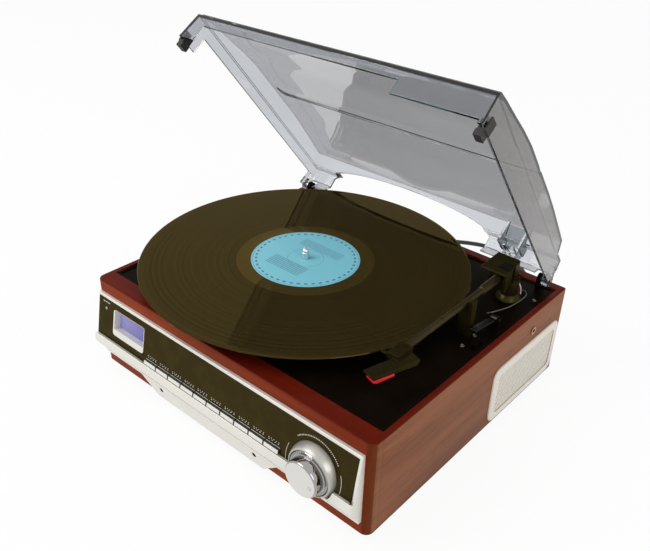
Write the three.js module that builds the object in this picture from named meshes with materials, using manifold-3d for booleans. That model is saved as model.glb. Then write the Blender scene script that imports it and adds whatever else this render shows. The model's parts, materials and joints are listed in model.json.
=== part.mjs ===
// A retro record player: a veneered cabinet with a sloping silver control front, a sunken deck with
// platter, record and tonearm, and a smoked clear lid that stands open on its rear hinges.
// Millimetres, +Z up. Everything is laid out from the cabinet's centre at the height of the surface
// that the feet stand on; the finished group is then moved so that its origin lies at the bottom
// centre of the player's box, the mains lead left out.
import * as THREE from "three";
import { mergeVertices } from "three/addons/utils/BufferGeometryUtils.js";
import Module from "manifold-3d";

const wasm = await Module();
wasm.setup();

// Clearances
const fit = 0.3; // between pieces that touch or slide
const overrun = 2; // how far a cutting tool passes the face it cuts
const mergeReach = 0.0001; // vertices closer than this are one

// Cabinet
const cabinetWidth = 323;
const cabinetDepth = 284;
const cabinetHeight = 91;
const cabinetFrontCorner = 7;
const cabinetRearCorner = 2;
const cabinetEdgeBevel = 0.8;
const sideWall = 9;
const frontWall = 17;
const rearWall = 12;
const sideRim = 5.5; // width of the wooden rim beside the deck
const rearRim = 9;
const footHeight = 5;
const footRadius = 11;
const footInset = 30;
const baseThickness = 3;
const baseRebate = 4.5;
const boardPostHeight = 6;
const boardPostRadius = 3;

// Deck plate
const deckSink = 2; // deck surface below the wooden rim
const deckThickness = 2.5;
const deckLipHeight = 0.9;
const deckLipWidth = 3;

// Platter, mat and record
const recordArmGap = 5.9; // from the record's right edge to the arm's pivot, across
const recordRearReach = 10.4; // how far the record passes the rear edge of the deck
const spindleRadius = 3.5;
const spindleRise = 10.5; // spindle tip above the record
const spindleCollarRadius = 6.5;
const spindleCollarHeight = 2;
const recordRadius = 150.8;
const recordThickness = 1.8;
const recordHeight = 18; // record's underside above the wooden rim's top
const recordEdge = 1.2;
const grooveSink = 0.25; // groove band below the edge bead and the label area
const deadWaxRadius = 61;
const labelRadius = 50;
const labelThickness = 0.2;
const matRadius = 97;
const matThickness = 1.7;
const platterRadius = 99;
const platterThickness = 2.5;
const platterRimDepth = 14;
const platterRimWall = 3;
const beltRingRadius = 62;
const beltRingWall = 3;
const beltRingDepth = 9;
const hubRadius = 11;
const bearingRadius = 7;
const bearingFlangeRadius = 13;
const bearingFlangeThickness = 2;
const bearingDepth = 16;
const bearingFloor = 2.5;

// Motor and belt
const motorDistance = 84; // from the spindle
const motorBearing = 130; // degrees from +X
const motorRadius = 18;
const motorLength = 26;
const pulleyRadius = 5;
const pulleyFlange = 1.5;
const pulleyHeight = 6;
const motorShaftRadius = 1.5;
const beltWidth = 4;
const beltThickness = 1;

// Silver front
const fasciaInset = 6.5; // from each end of the cabinet
const fasciaTop = 80; // above the cabinet's bottom
const fasciaFoot = 13.3;
const lipDepth = 3; // how far the top lip stands out of the cabinet
const panelTilt = 10.7; // degrees
const barTop = 40;
const barTopReach = 13.1; // reach of each edge of the bar in front of the cabinet
const barNoseUpper = 36.5;
const barNoseUpperReach = 14;
const barNoseLower = 32;
const barNoseLowerReach = 14.4;
const barUnder = 24.3;
const barUnderReach = 9.5;
const skirtUpper = 19;
const skirtUpperReach = 5.2;
const skirtLower = 15.8;
const skirtLowerReach = 4.3;
const skirtFootReach = 3.4;
const fasciaWall = 2.2;
const fasciaEndWall = 5;
const hollowTop = 14; // the hollow starts this far down the slope
const frontWindowInset = 19.5; // from each end of the cabinet
const frontWindowLow = 16;
const frontWindowHigh = 76;

// Socket bulge under the bar
const bulgeShift = 10.5; // to the left of the cabinet's middle
const bulgeTopWidth = 180;
const bulgeBottomWidth = 130;
const bulgeTop = 21;
const bulgeBottom = 3;
const bulgeUpperReach = 8;
const bulgeLowerReach = 4.5;
const socketHoleRadius = 2.4;
const socketHoleHeight = 14.5;
const socketHoleSpacing = 118;
const socketHoleDepth = 5;

// Black panel, display and keys, measured down the slope
const panelLeftInset = 0.4; // from the fascia's left end
const panelRightInset = 2.6;
const panelUpper = 3;
const panelLower = 41.5;
const panelThickness = 2;
const displayInset = 22.5; // from the fascia's left end
const displayWidth = 44.8;
const displayUpper = 8.5;
const displayLower = 34.5;
const displayCornerRadius = 3;
const displayDepth = 6;
const displayRim = 0.9;
const screenInset = 3; // from the display's left edge
const screenWidth = 40;
const screenUpper = 10;
const screenLower = 27;
const screenThickness = 1.6;
const ledRadius = 1.5;
const ledInset = 11.7; // from the fascia's left end
const ledDown = 12.3;
const ledLength = 4.4;
const ledRise = 0.5;
const keyCount = 10;
const keyRowGap = 3.7; // from the display to the first key
const keyRowEndGap = 10.2; // from the last key to the dial's collar
const keyGap = 0.6;
const keyUpper = 36.4;
const keyHeight = 4.7;
const keyRise = 1.9; // proud of the slope
const keyThickness = 3;
const keyStemWidth = 6;
const keyStemHeight = 2.4;
const keyStemLength = 4.2;
const keyTravel = 1.2;
const keyBoardThickness = 1.4;
const keyBoardMargin = 8;
const keyBoardHeight = 12;
const keyBossRadius = 2.5;

// Dial and knob: their axis runs level, straight out of the front
const knobInset = 40.6; // from the fascia's right end
const knobHeight = 45; // above the cabinet's bottom
const collarRadius = 22.7;
const collarBore = 19.3;
const collarReach = 14.5; // front of the collar in front of the cabinet
const collarRound = 3;
const dialPocketReach = 5.2; // floor of the pocket in front of the cabinet
const knobSkirtRadius = 18.8;
const knobSkirtReach = 14.4;
const knobSkirtThickness = 3;
const knobRadius = 15.6;
const knobReach = 23.7;
const knobEdgeRound = 0.8;
const knobShaftRadius = 3;
const knobSocketDepth = 8;
const shaftEngagementShare = 0.8; // of the encoder's depth
const encoderSize = 14;
const encoderDepth = 8;

// Side grilles, speakers and side socket
const grilleInset = 62; // its centre from the cabinet's rear
const grilleLength = 114;
const grilleLow = 4; // above the cabinet's bottom
const grilleHeight = 57;
const grilleCorner = 8;
const grilleFrame = 6.5;
const grilleRise = 1.6;
const grilleFloor = 0.8;
const grilleSlots = 12;
const grilleSlotHeight = 1.6;
const speakerHoleRadius = 23;
const speakerRadius = 27;
const speakerFlange = 2;
const speakerDepth = 16;
const magnetRadius = 17;
const magnetDepth = 9;
const sideSocketInset = 57;
const sideSocketHeight = 72.4;
const sideSocketRadius = 3;
const sideSocketFlange = 4;
const sideSocketRise = 0.5;
const sideSocketBore = 1.75;

// Electronics in the cabinet
const boardLength = 130;
const boardWidth = 80;
const boardThickness = 1.6;
const boardInset = 65; // its centre behind the front wall
const heatSinkHeight = 22;
const transformerLength = 50;
const transformerWidth = 40;
const transformerHeight = 40;
const transformerSideInset = 76.5;
const transformerRearInset = 57;
const coilBobbinHeight = 22;

// Tonearm
const pivotInset = 26; // from the deck's right edge
const pivotRearInset = 43; // from the deck's rear edge
const armBaseRadius = 8.5;
const armBaseHeight = 8;
const armFlangeRadius = 11;
const armFlangeHeight = 2;
const armPinRadius = 3;
const armPinHeight = 10;
const armPegRadius = 5;
const armPegDepth = 12;
const columnRadius = 8;
const hoodLow = 112; // above the cabinet's bottom
const hoodHigh = 129;
const hoodFrontReach = 28; // from the pivot
const hoodRearReach = 5;
const hoodFrontLeftReach = 17;
const hoodFrontRightReach = 9.2;
const hoodRearLeftReach = 18.5;
const hoodRearRightReach = 4;
const hoodTaper = 0.8;
const hoodCapThickness = 2; // over the room for the tube
const hoodWallThickness = 2.5; // to the right of that room
const hoodRoomReach = 6; // end of that room in front of the pivot
const armTubeRadius = 2.9;
const armSleeveRadius = 4;
const armSleeveLength = 41;
const armRearOffset = 1; // to the left of the pivot
const armRearReach = 8; // in front of the pivot
const armRearHeight = 120.8;
const armHeadOffset = 2;
const armHeadReach = 152;
const armHeadHeight = 116.5;
const neckLength = 19;
const neckWidth = 11;
const neckHeight = 5.4;
const headLength = 42.5;
const headWidth = 12.4;
const headTurn = 17; // degrees, its front end inwards of the tube's line
const headSideShift = 11; // middle of its rear end to the right of the tube's line
const headSetback = 5; // its rear end in front of the tube's end
const headStep = 2.2; // its top below the neck's top
const headThickness = 2.4;
const headDrop = 1.7; // its front end below its rear end
const headSkirtLength = 20;
const headSkirtDepth = 2.4;
const cartridgeWidth = 9;
const cartridgeInset = 1.5; // behind the head's front end
const cartridgeClearance = 1.2; // over the record's plane when the arm is parked
const fingerLength = 5;
const fingerWidth = 3;
const fingerThickness = 1.2;
const stylusLength = 19;
const stylusWidth = 8.6;
const stylusHeight = 3.3;
const stylusInset = 0.5; // behind the head's front end
const stylusClearance = 0.6; // over the record's plane when the arm is parked
const restOffset = 0.5; // to the left of the pivot
const restReach = 72; // in front of the pivot
const restWidth = 9;
const restDepth = 7;
const restWallThickness = 3;
const restWallRise = 8;
const cueOffset = 12.3; // to the right of the pivot
const cueReach = 44; // in front of the pivot
const cueHeight = 6.5; // axis above the deck
const cueHubRadius = 3.2;
const cueHubLength = 6;
const cueLeverLength = 30;
const cueLeverThickness = 2;
const cueLeverRise = 5;
const cuePostThickness = 2.2;
const cuePinRadius = 1.3;
const switchInset = 7.5; // from the deck's right edge
const switchReach = 80; // in front of the pivot
const switchTravel = 9;
const switchWidth = 5;
const switchHeight = 5;
const switchSlotLength = 16;
const switchSlotWidth = 3;

// Lid, measured back from its front lower edge and up from that edge, closed
const lidAngle = 50.45; // degrees open
const lidSideGap = 4.2; // to each side of the deck's opening
const lidFrontGap = 0.7; // to the front edge of the deck's opening
const lidRearGap = 3.9;
const lidLift = 5.3; // lower edge above the wooden rim's top
const lidWall = 2.2;
const lidSkirt = 26.25;
const lidSideDraft = 2.17;
const lidFrontDraft = 1.8;
const lidCrease = 1.4;
const lidUpperDraft = 1.6;
const lidRearHeight = 38.9;
const lidRearTopInset = 16.4; // rear end of the roof, in front of the lid's rear end
const lidRearWallInset = 10.4;
const lidRearSkirtInset = 1.4;
const lidRearChamfer = 10.3;
const lidRearFootInset = 8.9;
const lidFrontHeight = 28.4;
const lidCrownHeight = 42.4;
const lidRecessStart = 107;
const lidRecessEnd = 124.5;
const lidRecessDepth = 1.8; // at its end, from nothing at its start
const lidRecessInset = 15; // from the lid's left side
const lidRecessCorner = 9;
const lidLegWidth = 18;
const lidLegLength = 22;
const lidSideCutInset = 11.4;
const lidCutHeight = 15.5;
const lidFrontCutInset = 78.8; // from the lid's right side
const lidFrontLowCut = 3;
const lidFrontStopInset = 4.8;
const archLeftReach = 92.3; // from the spindle
const archRightReach = 103.7;
const archSpring = 21;
const archCrown = 34;
const archRearCut = 5;
const hingeInset = 2.1; // hinge axis in front of the lid's rear end
const hingeUp = 3.7;
const lugRadius = 6;
const lugThickness = 6;
const lugBore = 2.4;
const postWidth = 5;
const postRadius = 4.5;
const stubRadius = 2;
const ribThickness = 2.5;
const ribSpacing = 21;
const ribLength = 21.4;
const hingeSideInset = 46.55; // the middle hinge from the lid's right side
const hingeEarGap = 12.4;
const hingeEarThickness = 3.2;
const hingeEarRadius = 5.5;
const hingeFootLength = 17;
const hingeFootHeight = 3;
const bracketWidth = 11.6;
const bracketBarrelRadius = 4.2;
const bracketBore = 2.3;
const hingePinRadius = 2;
const bracketPlate = 2;
const bracketReach = 16.5; // from the axis to the plate's far end, up the lid's rear wall
const bracketSlotWidth = 6;
const bumperStart = 3.2; // behind the lid's front edge
const bumperLength = 9;
const bumperInnerReach = 5.4; // inside the lid's side
const bumperOuterReach = 0.6; // outside it
const bumperLip = 1.6;
const bumperInnerRise = 5;
const bumperOuterRise = 9;
const bumperLipDrop = 2;

// Mains lead
const cordDiameter = 5;
const cordSides = 8;
const cordStep = 12;
const reliefX = 80;
const reliefHeight = 25; // above the cabinet's bottom
const reliefLength = 26;
const reliefRootRadius = 5.2;
const reliefTipRadius = 3.3;
const reliefFlangeRadius = 7.5;
const reliefFlangeThickness = 2;
const reliefNeckRadius = 4.6;
const reliefTail = 4;
const coilX = -106;
const coilY = 221.5;
const coilRadius = 37; // centre line of the outermost turn
const coilPitch = 5.55;
const coilLayerTurns = 3;
const coilStart = 119.4; // degrees
const coilSteps = 24; // steps in each turn
const coilSides = 6;
const coilTail = 22;
const cordClearance = 0.1; // over the standing surface
const plugLength = 36;
const plugWidth = 17;
const plugNeckLength = 10;
const plugNeckRadius = 3.4;
const plugFaceWidth = 25;
const plugPinRadius = 2;
const plugPinLength = 19;
const plugPinSpacing = 18;

// Steps in the rounds
const fineSteps = 60;
const roundSteps = 40;
const smallSteps = 20;
const arcSteps = 5;

// Heights and faces worked out from the sizes above
const woodBottom = footHeight;
const woodTop = woodBottom + cabinetHeight;
const deckTop = woodTop - deckSink;
const deckUnder = deckTop - deckThickness;
const cabinetFront = -cabinetDepth / 2;
const cabinetRear = cabinetDepth / 2;
const cabinetSide = cabinetWidth / 2;
const openingSide = cabinetSide - sideRim;
const openingFront = cabinetFront + frontWall;
const openingRear = cabinetRear - rearRim;
const baseTop = woodBottom + baseThickness;
const recordUnder = woodTop + recordHeight - recordThickness;
const recordTop = recordUnder + recordThickness;
const matUnder = recordUnder - matThickness;
const platterTop = matUnder;
const platterUnder = platterTop - platterThickness;

const pivotX = openingSide - pivotInset;
const pivotY = openingRear - pivotRearInset;
const spindleX = pivotX - recordArmGap - recordRadius;
const spindleY = openingRear + recordRearReach - recordRadius;
const restX = pivotX - restOffset;
const restY = pivotY - restReach;
const cueX = pivotX + cueOffset;
const cueY = pivotY - cueReach;
const switchX = openingSide - switchInset;
const switchY = pivotY - switchReach;

const fasciaHalf = cabinetSide - fasciaInset;
const frontWindowSide = cabinetSide - frontWindowInset;
const bulgeCentre = -bulgeShift;
const panelLeft = -fasciaHalf + panelLeftInset;
const panelRight = fasciaHalf - panelRightInset;
const displayLeft = -fasciaHalf + displayInset;
const displayRight = displayLeft + displayWidth;
const screenLeft = displayLeft + screenInset;
const screenRight = screenLeft + screenWidth;
const ledX = -fasciaHalf + ledInset;
const keyRowLeft = displayRight + keyRowGap;
const knobX = fasciaHalf - knobInset;
const keyPitch = (knobX - collarRadius - keyRowEndGap - keyRowLeft) / keyCount;
const grilleCentreY = cabinetRear - grilleInset;
const sideSocketY = cabinetRear - sideSocketInset;
const boardCentreY = openingFront + boardInset;
const transformerX = cabinetSide - transformerSideInset;
const transformerY = cabinetRear - transformerRearInset;

const lidHalfWidth = openingSide - lidSideGap;
const lidLength = openingRear - openingFront - lidFrontGap - lidRearGap;
const lidRearTop = lidLength - lidRearTopInset;
const lidRearWallFoot = lidLength - lidRearWallInset;
const lidRearSkirtTop = lidLength - lidRearSkirtInset;
const lidRearFoot = lidLength - lidRearFootInset;
const lidSideCutEnd = lidLength - lidSideCutInset;
const lidFrontCutEnd = lidHalfWidth - lidFrontCutInset;
const lidFrontCutStop = lidHalfWidth - lidFrontStopInset;
const archLeft = spindleX - archLeftReach;
const archRight = spindleX + archRightReach;
const hingeBack = lidLength - hingeInset;
const hingeX = lidHalfWidth - hingeSideInset;
const bumperInner = lidHalfWidth - bumperInnerReach;
const bumperOuter = lidHalfWidth + bumperOuterReach;
const ribLeft = hingeX - ribSpacing / 2 - ribThickness / 2;
const ribRight = hingeX + ribSpacing / 2 - ribThickness / 2;
const ribStart = lidLength - ribLength;

// Finishes
function finish(colour, roughness, metalness = 0) {
  return { colour, roughness, metalness };
}
const veneer = finish(0x96502d, 0.3);
const blackPlastic = finish(0x1c1b19, 0.45);
const glossBlack = finish(0x14120f, 0.12);
const silverPaint = finish(0xd6d4cf, 0.35, 0.3);
const chrome = finish(0xe4e4e6, 0.08, 1);
const steel = finish(0xb9bbbd, 0.3, 0.9);
const brass = finish(0xb98e3c, 0.3, 0.9);
const whitePlastic = finish(0xe9e6dc, 0.5);
const vinyl = finish(0x15130f, 0.2);
const labelPaper = finish(0x73c8e1, 0.7);
const smokedPlastic = finish(0x8d9093, 0.08);
const rubber = finish(0x161616, 0.8);
const circuitBoard = finish(0x1d5a35, 0.6);
const screenBlue = finish(0x6f6fd6, 0.25);
const redPlastic = finish(0xd01020, 0.35);
const fibreboard = finish(0x3a2a20, 0.8);
const greenLed = finish(0x9aa08a, 0.2);

const player = new THREE.Group();
const lead = new THREE.Group();

// Solids: joining, cutting and placing

// A closed geometry as a solid, with its faces pointing out.
function solid(geometry) {
  const bare = new THREE.BufferGeometry();
  bare.setAttribute("position", geometry.getAttribute("position"));
  bare.setIndex(geometry.index);
  const merged = mergeVertices(bare, mergeReach);
  const corners = merged.index.array;
  const faces = [];
  for (let i = 0; i < corners.length; i += 3) {
    const [a, b, c] = [corners[i], corners[i + 1], corners[i + 2]];
    if (a !== b && b !== c && c !== a) faces.push(a, b, c);
  }
  const vertProperties = new Float32Array(merged.attributes.position.array);
  const build = (list) =>
    new wasm.Manifold(
      new wasm.Mesh({ numProp: 3, vertProperties, triVerts: new Uint32Array(list) }),
    );
  const made = build(faces);
  if (made.volume() > 0) return made;
  const turned = [];
  for (let i = 0; i < faces.length; i += 3) turned.push(faces[i], faces[i + 2], faces[i + 1]);
  return build(turned);
}

function geometryOf(body) {
  const found = body.getMesh();
  const geometry = new THREE.BufferGeometry();
  const stride = found.numProp;
  const count = found.vertProperties.length / stride;
  const positions = new Float32Array(count * 3);
  for (let i = 0; i < count; i++)
    for (let k = 0; k < 3; k++) positions[3 * i + k] = found.vertProperties[i * stride + k];
  geometry.setAttribute("position", new THREE.BufferAttribute(positions, 3));
  geometry.setIndex(new THREE.BufferAttribute(new Uint32Array(found.triVerts), 1));
  geometry.computeVertexNormals();
  return geometry;
}

function join(...bodies) {
  return bodies.reduce((sum, body) => sum.add(body));
}

function cut(body, ...tools) {
  return tools.reduce((left, tool) => left.subtract(tool), body);
}

// Adds a named piece to a group.
function add(name, body, look, group = player) {
  const material = new THREE.MeshStandardMaterial({
    color: look.colour,
    roughness: look.roughness,
    metalness: look.metalness,
  });
  const mesh = new THREE.Mesh(geometryOf(body), material);
  mesh.name = name;
  group.add(mesh);
  return mesh;
}

function outline(points) {
  return new THREE.Shape(points.map(([u, v]) => new THREE.Vector2(u, v)));
}

// The corners on the high side may have a radius of their own.
function roundedRectangle(left, right, low, high, radius, highRadius = radius) {
  const shape = new THREE.Shape();
  shape.absarc(right - radius, low + radius, radius, -Math.PI / 2, 0);
  shape.absarc(right - highRadius, high - highRadius, highRadius, 0, Math.PI / 2);
  shape.absarc(left + highRadius, high - highRadius, highRadius, Math.PI / 2, Math.PI);
  shape.absarc(left + radius, low + radius, radius, Math.PI, Math.PI * 1.5);
  return shape;
}

function extruded(shape, length, steps = arcSteps) {
  return new THREE.ExtrudeGeometry(shape, { depth: length, bevelEnabled: false, curveSegments: steps });
}

// A shape in X and Y, extruded upwards.
function alongZ(shape, low, high, steps) {
  return solid(extruded(shape, high - low, steps).translate(0, 0, low));
}

// A shape in Y and Z, extruded along X.
function alongX(shape, low, high, steps) {
  const turn = new THREE.Matrix4().makeBasis(
    new THREE.Vector3(0, 1, 0),
    new THREE.Vector3(0, 0, 1),
    new THREE.Vector3(1, 0, 0),
  );
  return solid(extruded(shape, high - low, steps).applyMatrix4(turn).translate(low, 0, 0));
}

// A shape in X and Z, extruded along Y.
function alongY(shape, low, high, steps) {
  const turn = new THREE.Matrix4().makeBasis(
    new THREE.Vector3(1, 0, 0),
    new THREE.Vector3(0, 0, 1),
    new THREE.Vector3(0, -1, 0),
  );
  return solid(extruded(shape, high - low, steps).applyMatrix4(turn).translate(0, high, 0));
}

function block(left, right, front, rear, low, high) {
  const box = new THREE.BoxGeometry(right - left, rear - front, high - low);
  return solid(box.translate((left + right) / 2, (front + rear) / 2, (low + high) / 2));
}

// A block whose lower and upper rectangles differ: [left, right, front, rear] each.
function taperedBlock(lower, upper, low, high) {
  const box = new THREE.BoxGeometry(1, 1, 1);
  const place = box.getAttribute("position");
  for (let i = 0; i < place.count; i++) {
    const above = place.getZ(i) > 0;
    const [left, right, front, rear] = above ? upper : lower;
    place.setXYZ(
      i,
      place.getX(i) > 0 ? right : left,
      place.getY(i) > 0 ? rear : front,
      above ? high : low,
    );
  }
  return solid(box);
}

// A turned piece about +Z from [radius, height] pairs that start and end on the axis or close.
function turned(profile, steps = roundSteps) {
  const points = profile.map(([radius, height]) => new THREE.Vector2(radius, height));
  return solid(new THREE.LatheGeometry(points, steps).rotateX(Math.PI / 2));
}

function ring(inner, outer, low, high, steps) {
  return turned([[inner, low], [outer, low], [outer, high], [inner, high], [inner, low]], steps);
}

function disc(radius, low, high, steps) {
  return turned([[0, low], [radius, low], [radius, high], [0, high]], steps);
}

const radians = THREE.MathUtils.degToRad;

// Places a piece turned about +Z so that its axis points along +X, -X, +Y or -Y through a point.
const facings = {
  right: [0, 90, 0],
  left: [0, -90, 0],
  back: [-90, 0, 0],
  front: [90, 0, 0],
};
function facing(side, body, x, y, z) {
  return body.rotate(facings[side]).translate([x, y, z]);
}

// Cabinet, its base and feet

function makeCabinet() {
  const bevel = {
    depth: cabinetHeight - 2 * cabinetEdgeBevel,
    bevelEnabled: true,
    bevelThickness: cabinetEdgeBevel,
    bevelSize: cabinetEdgeBevel,
    bevelOffset: -cabinetEdgeBevel,
    bevelSegments: 1,
    curveSegments: arcSteps,
  };
  const plan = roundedRectangle(
    -cabinetSide, cabinetSide, cabinetFront, cabinetRear, cabinetFrontCorner, cabinetRearCorner,
  );
  const body = solid(
    new THREE.ExtrudeGeometry(plan, bevel).translate(0, 0, woodBottom + cabinetEdgeBevel),
  );
  const innerSide = cabinetSide - sideWall;
  const innerRear = cabinetRear - rearWall;
  const cavity = block(
    -innerSide, innerSide, openingFront, innerRear, woodBottom - overrun, woodTop + overrun,
  );
  const deckOpening = block(
    -openingSide, openingSide, openingFront, openingRear, deckUnder, woodTop + overrun,
  );
  const rebate = block(
    -innerSide - baseRebate, innerSide + baseRebate,
    openingFront - baseRebate, innerRear + baseRebate,
    woodBottom - overrun, baseTop,
  );
  const frontWindow = block(
    -frontWindowSide, frontWindowSide,
    cabinetFront - overrun, openingFront + overrun,
    woodBottom + frontWindowLow, woodBottom + frontWindowHigh,
  );
  const grilleMiddle = woodBottom + grilleLow + grilleHeight / 2;
  const speakerHole = facing(
    "right",
    disc(speakerHoleRadius, -cabinetSide - overrun, cabinetSide + overrun),
    0, grilleCentreY, grilleMiddle,
  );
  const socketHole = facing(
    "right",
    disc(sideSocketRadius + fit, innerSide - overrun, cabinetSide + overrun, smallSteps),
    0, sideSocketY, woodBottom + sideSocketHeight,
  );
  const leadHole = facing(
    "back",
    disc(reliefNeckRadius + fit, innerRear - overrun, cabinetRear + overrun, smallSteps),
    reliefX, 0, woodBottom + reliefHeight,
  );
  add(
    "cabinet",
    cut(body, cavity, deckOpening, rebate, frontWindow, speakerHole, socketHole, leadHole),
    veneer,
  );
}

function makeBase() {
  const side = cabinetSide - sideWall + baseRebate - fit;
  const plate = block(
    -side, side,
    openingFront - baseRebate + fit, cabinetRear - rearWall + baseRebate - fit,
    woodBottom, baseTop,
  );
  const posts = [];
  for (const alongBoard of [-1, 1])
    for (const acrossBoard of [-1, 1])
      posts.push(
        disc(boardPostRadius, baseTop - baseThickness / 2, baseTop + boardPostHeight, smallSteps)
          .translate([
            alongBoard * (boardLength / 2 - 2 * boardPostRadius),
            boardCentreY + acrossBoard * (boardWidth / 2 - 2 * boardPostRadius),
            0,
          ]),
      );
  add("base_panel", join(plate, ...posts), fibreboard);

  const foot = turned(
    [[0, 0], [footRadius - footHeight / 4, 0], [footRadius, footHeight / 4], [footRadius, footHeight], [0, footHeight]],
    smallSteps,
  );
  const corners = { front_left: [-1, -1], front_right: [1, -1], rear_left: [-1, 1], rear_right: [1, 1] };
  for (const [corner, [acrossWay, backWay]] of Object.entries(corners))
    add(
      "foot_" + corner,
      foot.translate([
        acrossWay * (cabinetSide - footInset), backWay * (cabinetRear - footInset), 0,
      ]),
      rubber,
    );
}

function makeElectronics() {
  const boardLow = baseTop + boardPostHeight;
  const board = block(
    -boardLength / 2, boardLength / 2,
    boardCentreY - boardWidth / 2, boardCentreY + boardWidth / 2,
    boardLow, boardLow + boardThickness,
  );
  const boardTop = boardLow + boardThickness / 2;
  const heatSink = block(
    -boardLength / 3, boardLength / 12,
    boardCentreY + boardWidth / 4, boardCentreY + boardWidth / 3,
    boardTop, boardTop + heatSinkHeight,
  );
  const capacitors = [1, 2, 3].map((place) =>
    disc(heatSinkHeight / 4, boardTop, boardTop + heatSinkHeight * 0.8, smallSteps)
      .translate([boardLength * (0.1 + 0.1 * place), boardCentreY - boardWidth / 5, 0]),
  );
  add("main_board", join(board, heatSink, ...capacitors), circuitBoard);

  const core = block(
    transformerX - transformerLength / 2, transformerX + transformerLength / 2,
    transformerY - transformerWidth / 4, transformerY + transformerWidth / 4,
    baseTop, baseTop + transformerHeight,
  );
  const bobbin = block(
    transformerX - transformerLength / 3, transformerX + transformerLength / 3,
    transformerY - transformerWidth / 2, transformerY + transformerWidth / 2,
    baseTop + (transformerHeight - coilBobbinHeight) / 2,
    baseTop + (transformerHeight + coilBobbinHeight) / 2,
  );
  add("transformer", join(core, bobbin), steel);
}

// Deck plate with its bearing, motor and hinge posts

const hingeY = openingFront + lidFrontGap + hingeBack;
const hingeZ = woodTop + lidLift + hingeUp;
const motorX = spindleX + motorDistance * Math.cos(radians(motorBearing));
const motorY = spindleY + motorDistance * Math.sin(radians(motorBearing));
const lugInner = lidHalfWidth - lidWall / 2 - lugThickness;

function hingePost(side) {
  const postOuter = lugInner - fit;
  const left = side > 0 ? postOuter - postWidth : -postOuter;
  const upright = block(
    left, left + postWidth, hingeY - postRadius, hingeY + postRadius,
    deckTop - deckThickness / 2, hingeZ,
  );
  const head = facing("right", disc(postRadius, left, left + postWidth, smallSteps), 0, hingeY, hingeZ);
  const stubEnd = lugInner + lugThickness - fit;
  const stub = facing(
    side > 0 ? "right" : "left",
    disc(stubRadius, postOuter - postWidth / 2, stubEnd, smallSteps),
    0, hingeY, hingeZ,
  );
  return join(upright, head, stub);
}

function makeDeck() {
  const plate = block(
    -openingSide + fit, openingSide - fit, openingFront + fit, openingRear - fit, deckUnder, deckTop,
  );
  const lip = cut(
    block(
      -openingSide + fit, openingSide - fit, openingFront + fit, openingRear - fit,
      deckUnder, deckTop + deckLipHeight,
    ),
    block(
      -openingSide + deckLipWidth, openingSide - deckLipWidth,
      openingFront + deckLipWidth, openingRear - deckLipWidth,
      deckUnder - overrun, deckTop + deckLipHeight + overrun,
    ),
    hingeRoom(),
  );
  const through = (radius, x, y) =>
    disc(radius, deckUnder - overrun, deckTop + overrun, smallSteps).translate([x, y, 0]);
  const switchSlot = block(
    switchX - switchSlotWidth / 2, switchX + switchSlotWidth / 2,
    switchY - switchSlotLength / 2, switchY + switchSlotLength / 2,
    deckUnder - overrun, deckTop + overrun,
  );
  const deck = cut(
    join(plate, lip, hingePost(1), hingePost(-1), ...cueEars()),
    through(bearingRadius + fit, spindleX, spindleY),
    through(motorShaftRadius + 1.5 * pulleyFlange, motorX, motorY),
    through(armPegRadius + fit, pivotX, pivotY),
    switchSlot,
  );
  add("deck_plate", deck, blackPlastic);
}

// The room that the middle hinge needs in the deck's raised lip.
function hingeRoom() {
  const reach = hingeEarGap / 2 + hingeEarThickness + 2 * fit;
  return block(
    hingeX - reach, hingeX + reach, hingeY - hingeFootLength, openingRear, deckTop, woodTop + overrun,
  );
}

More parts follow.
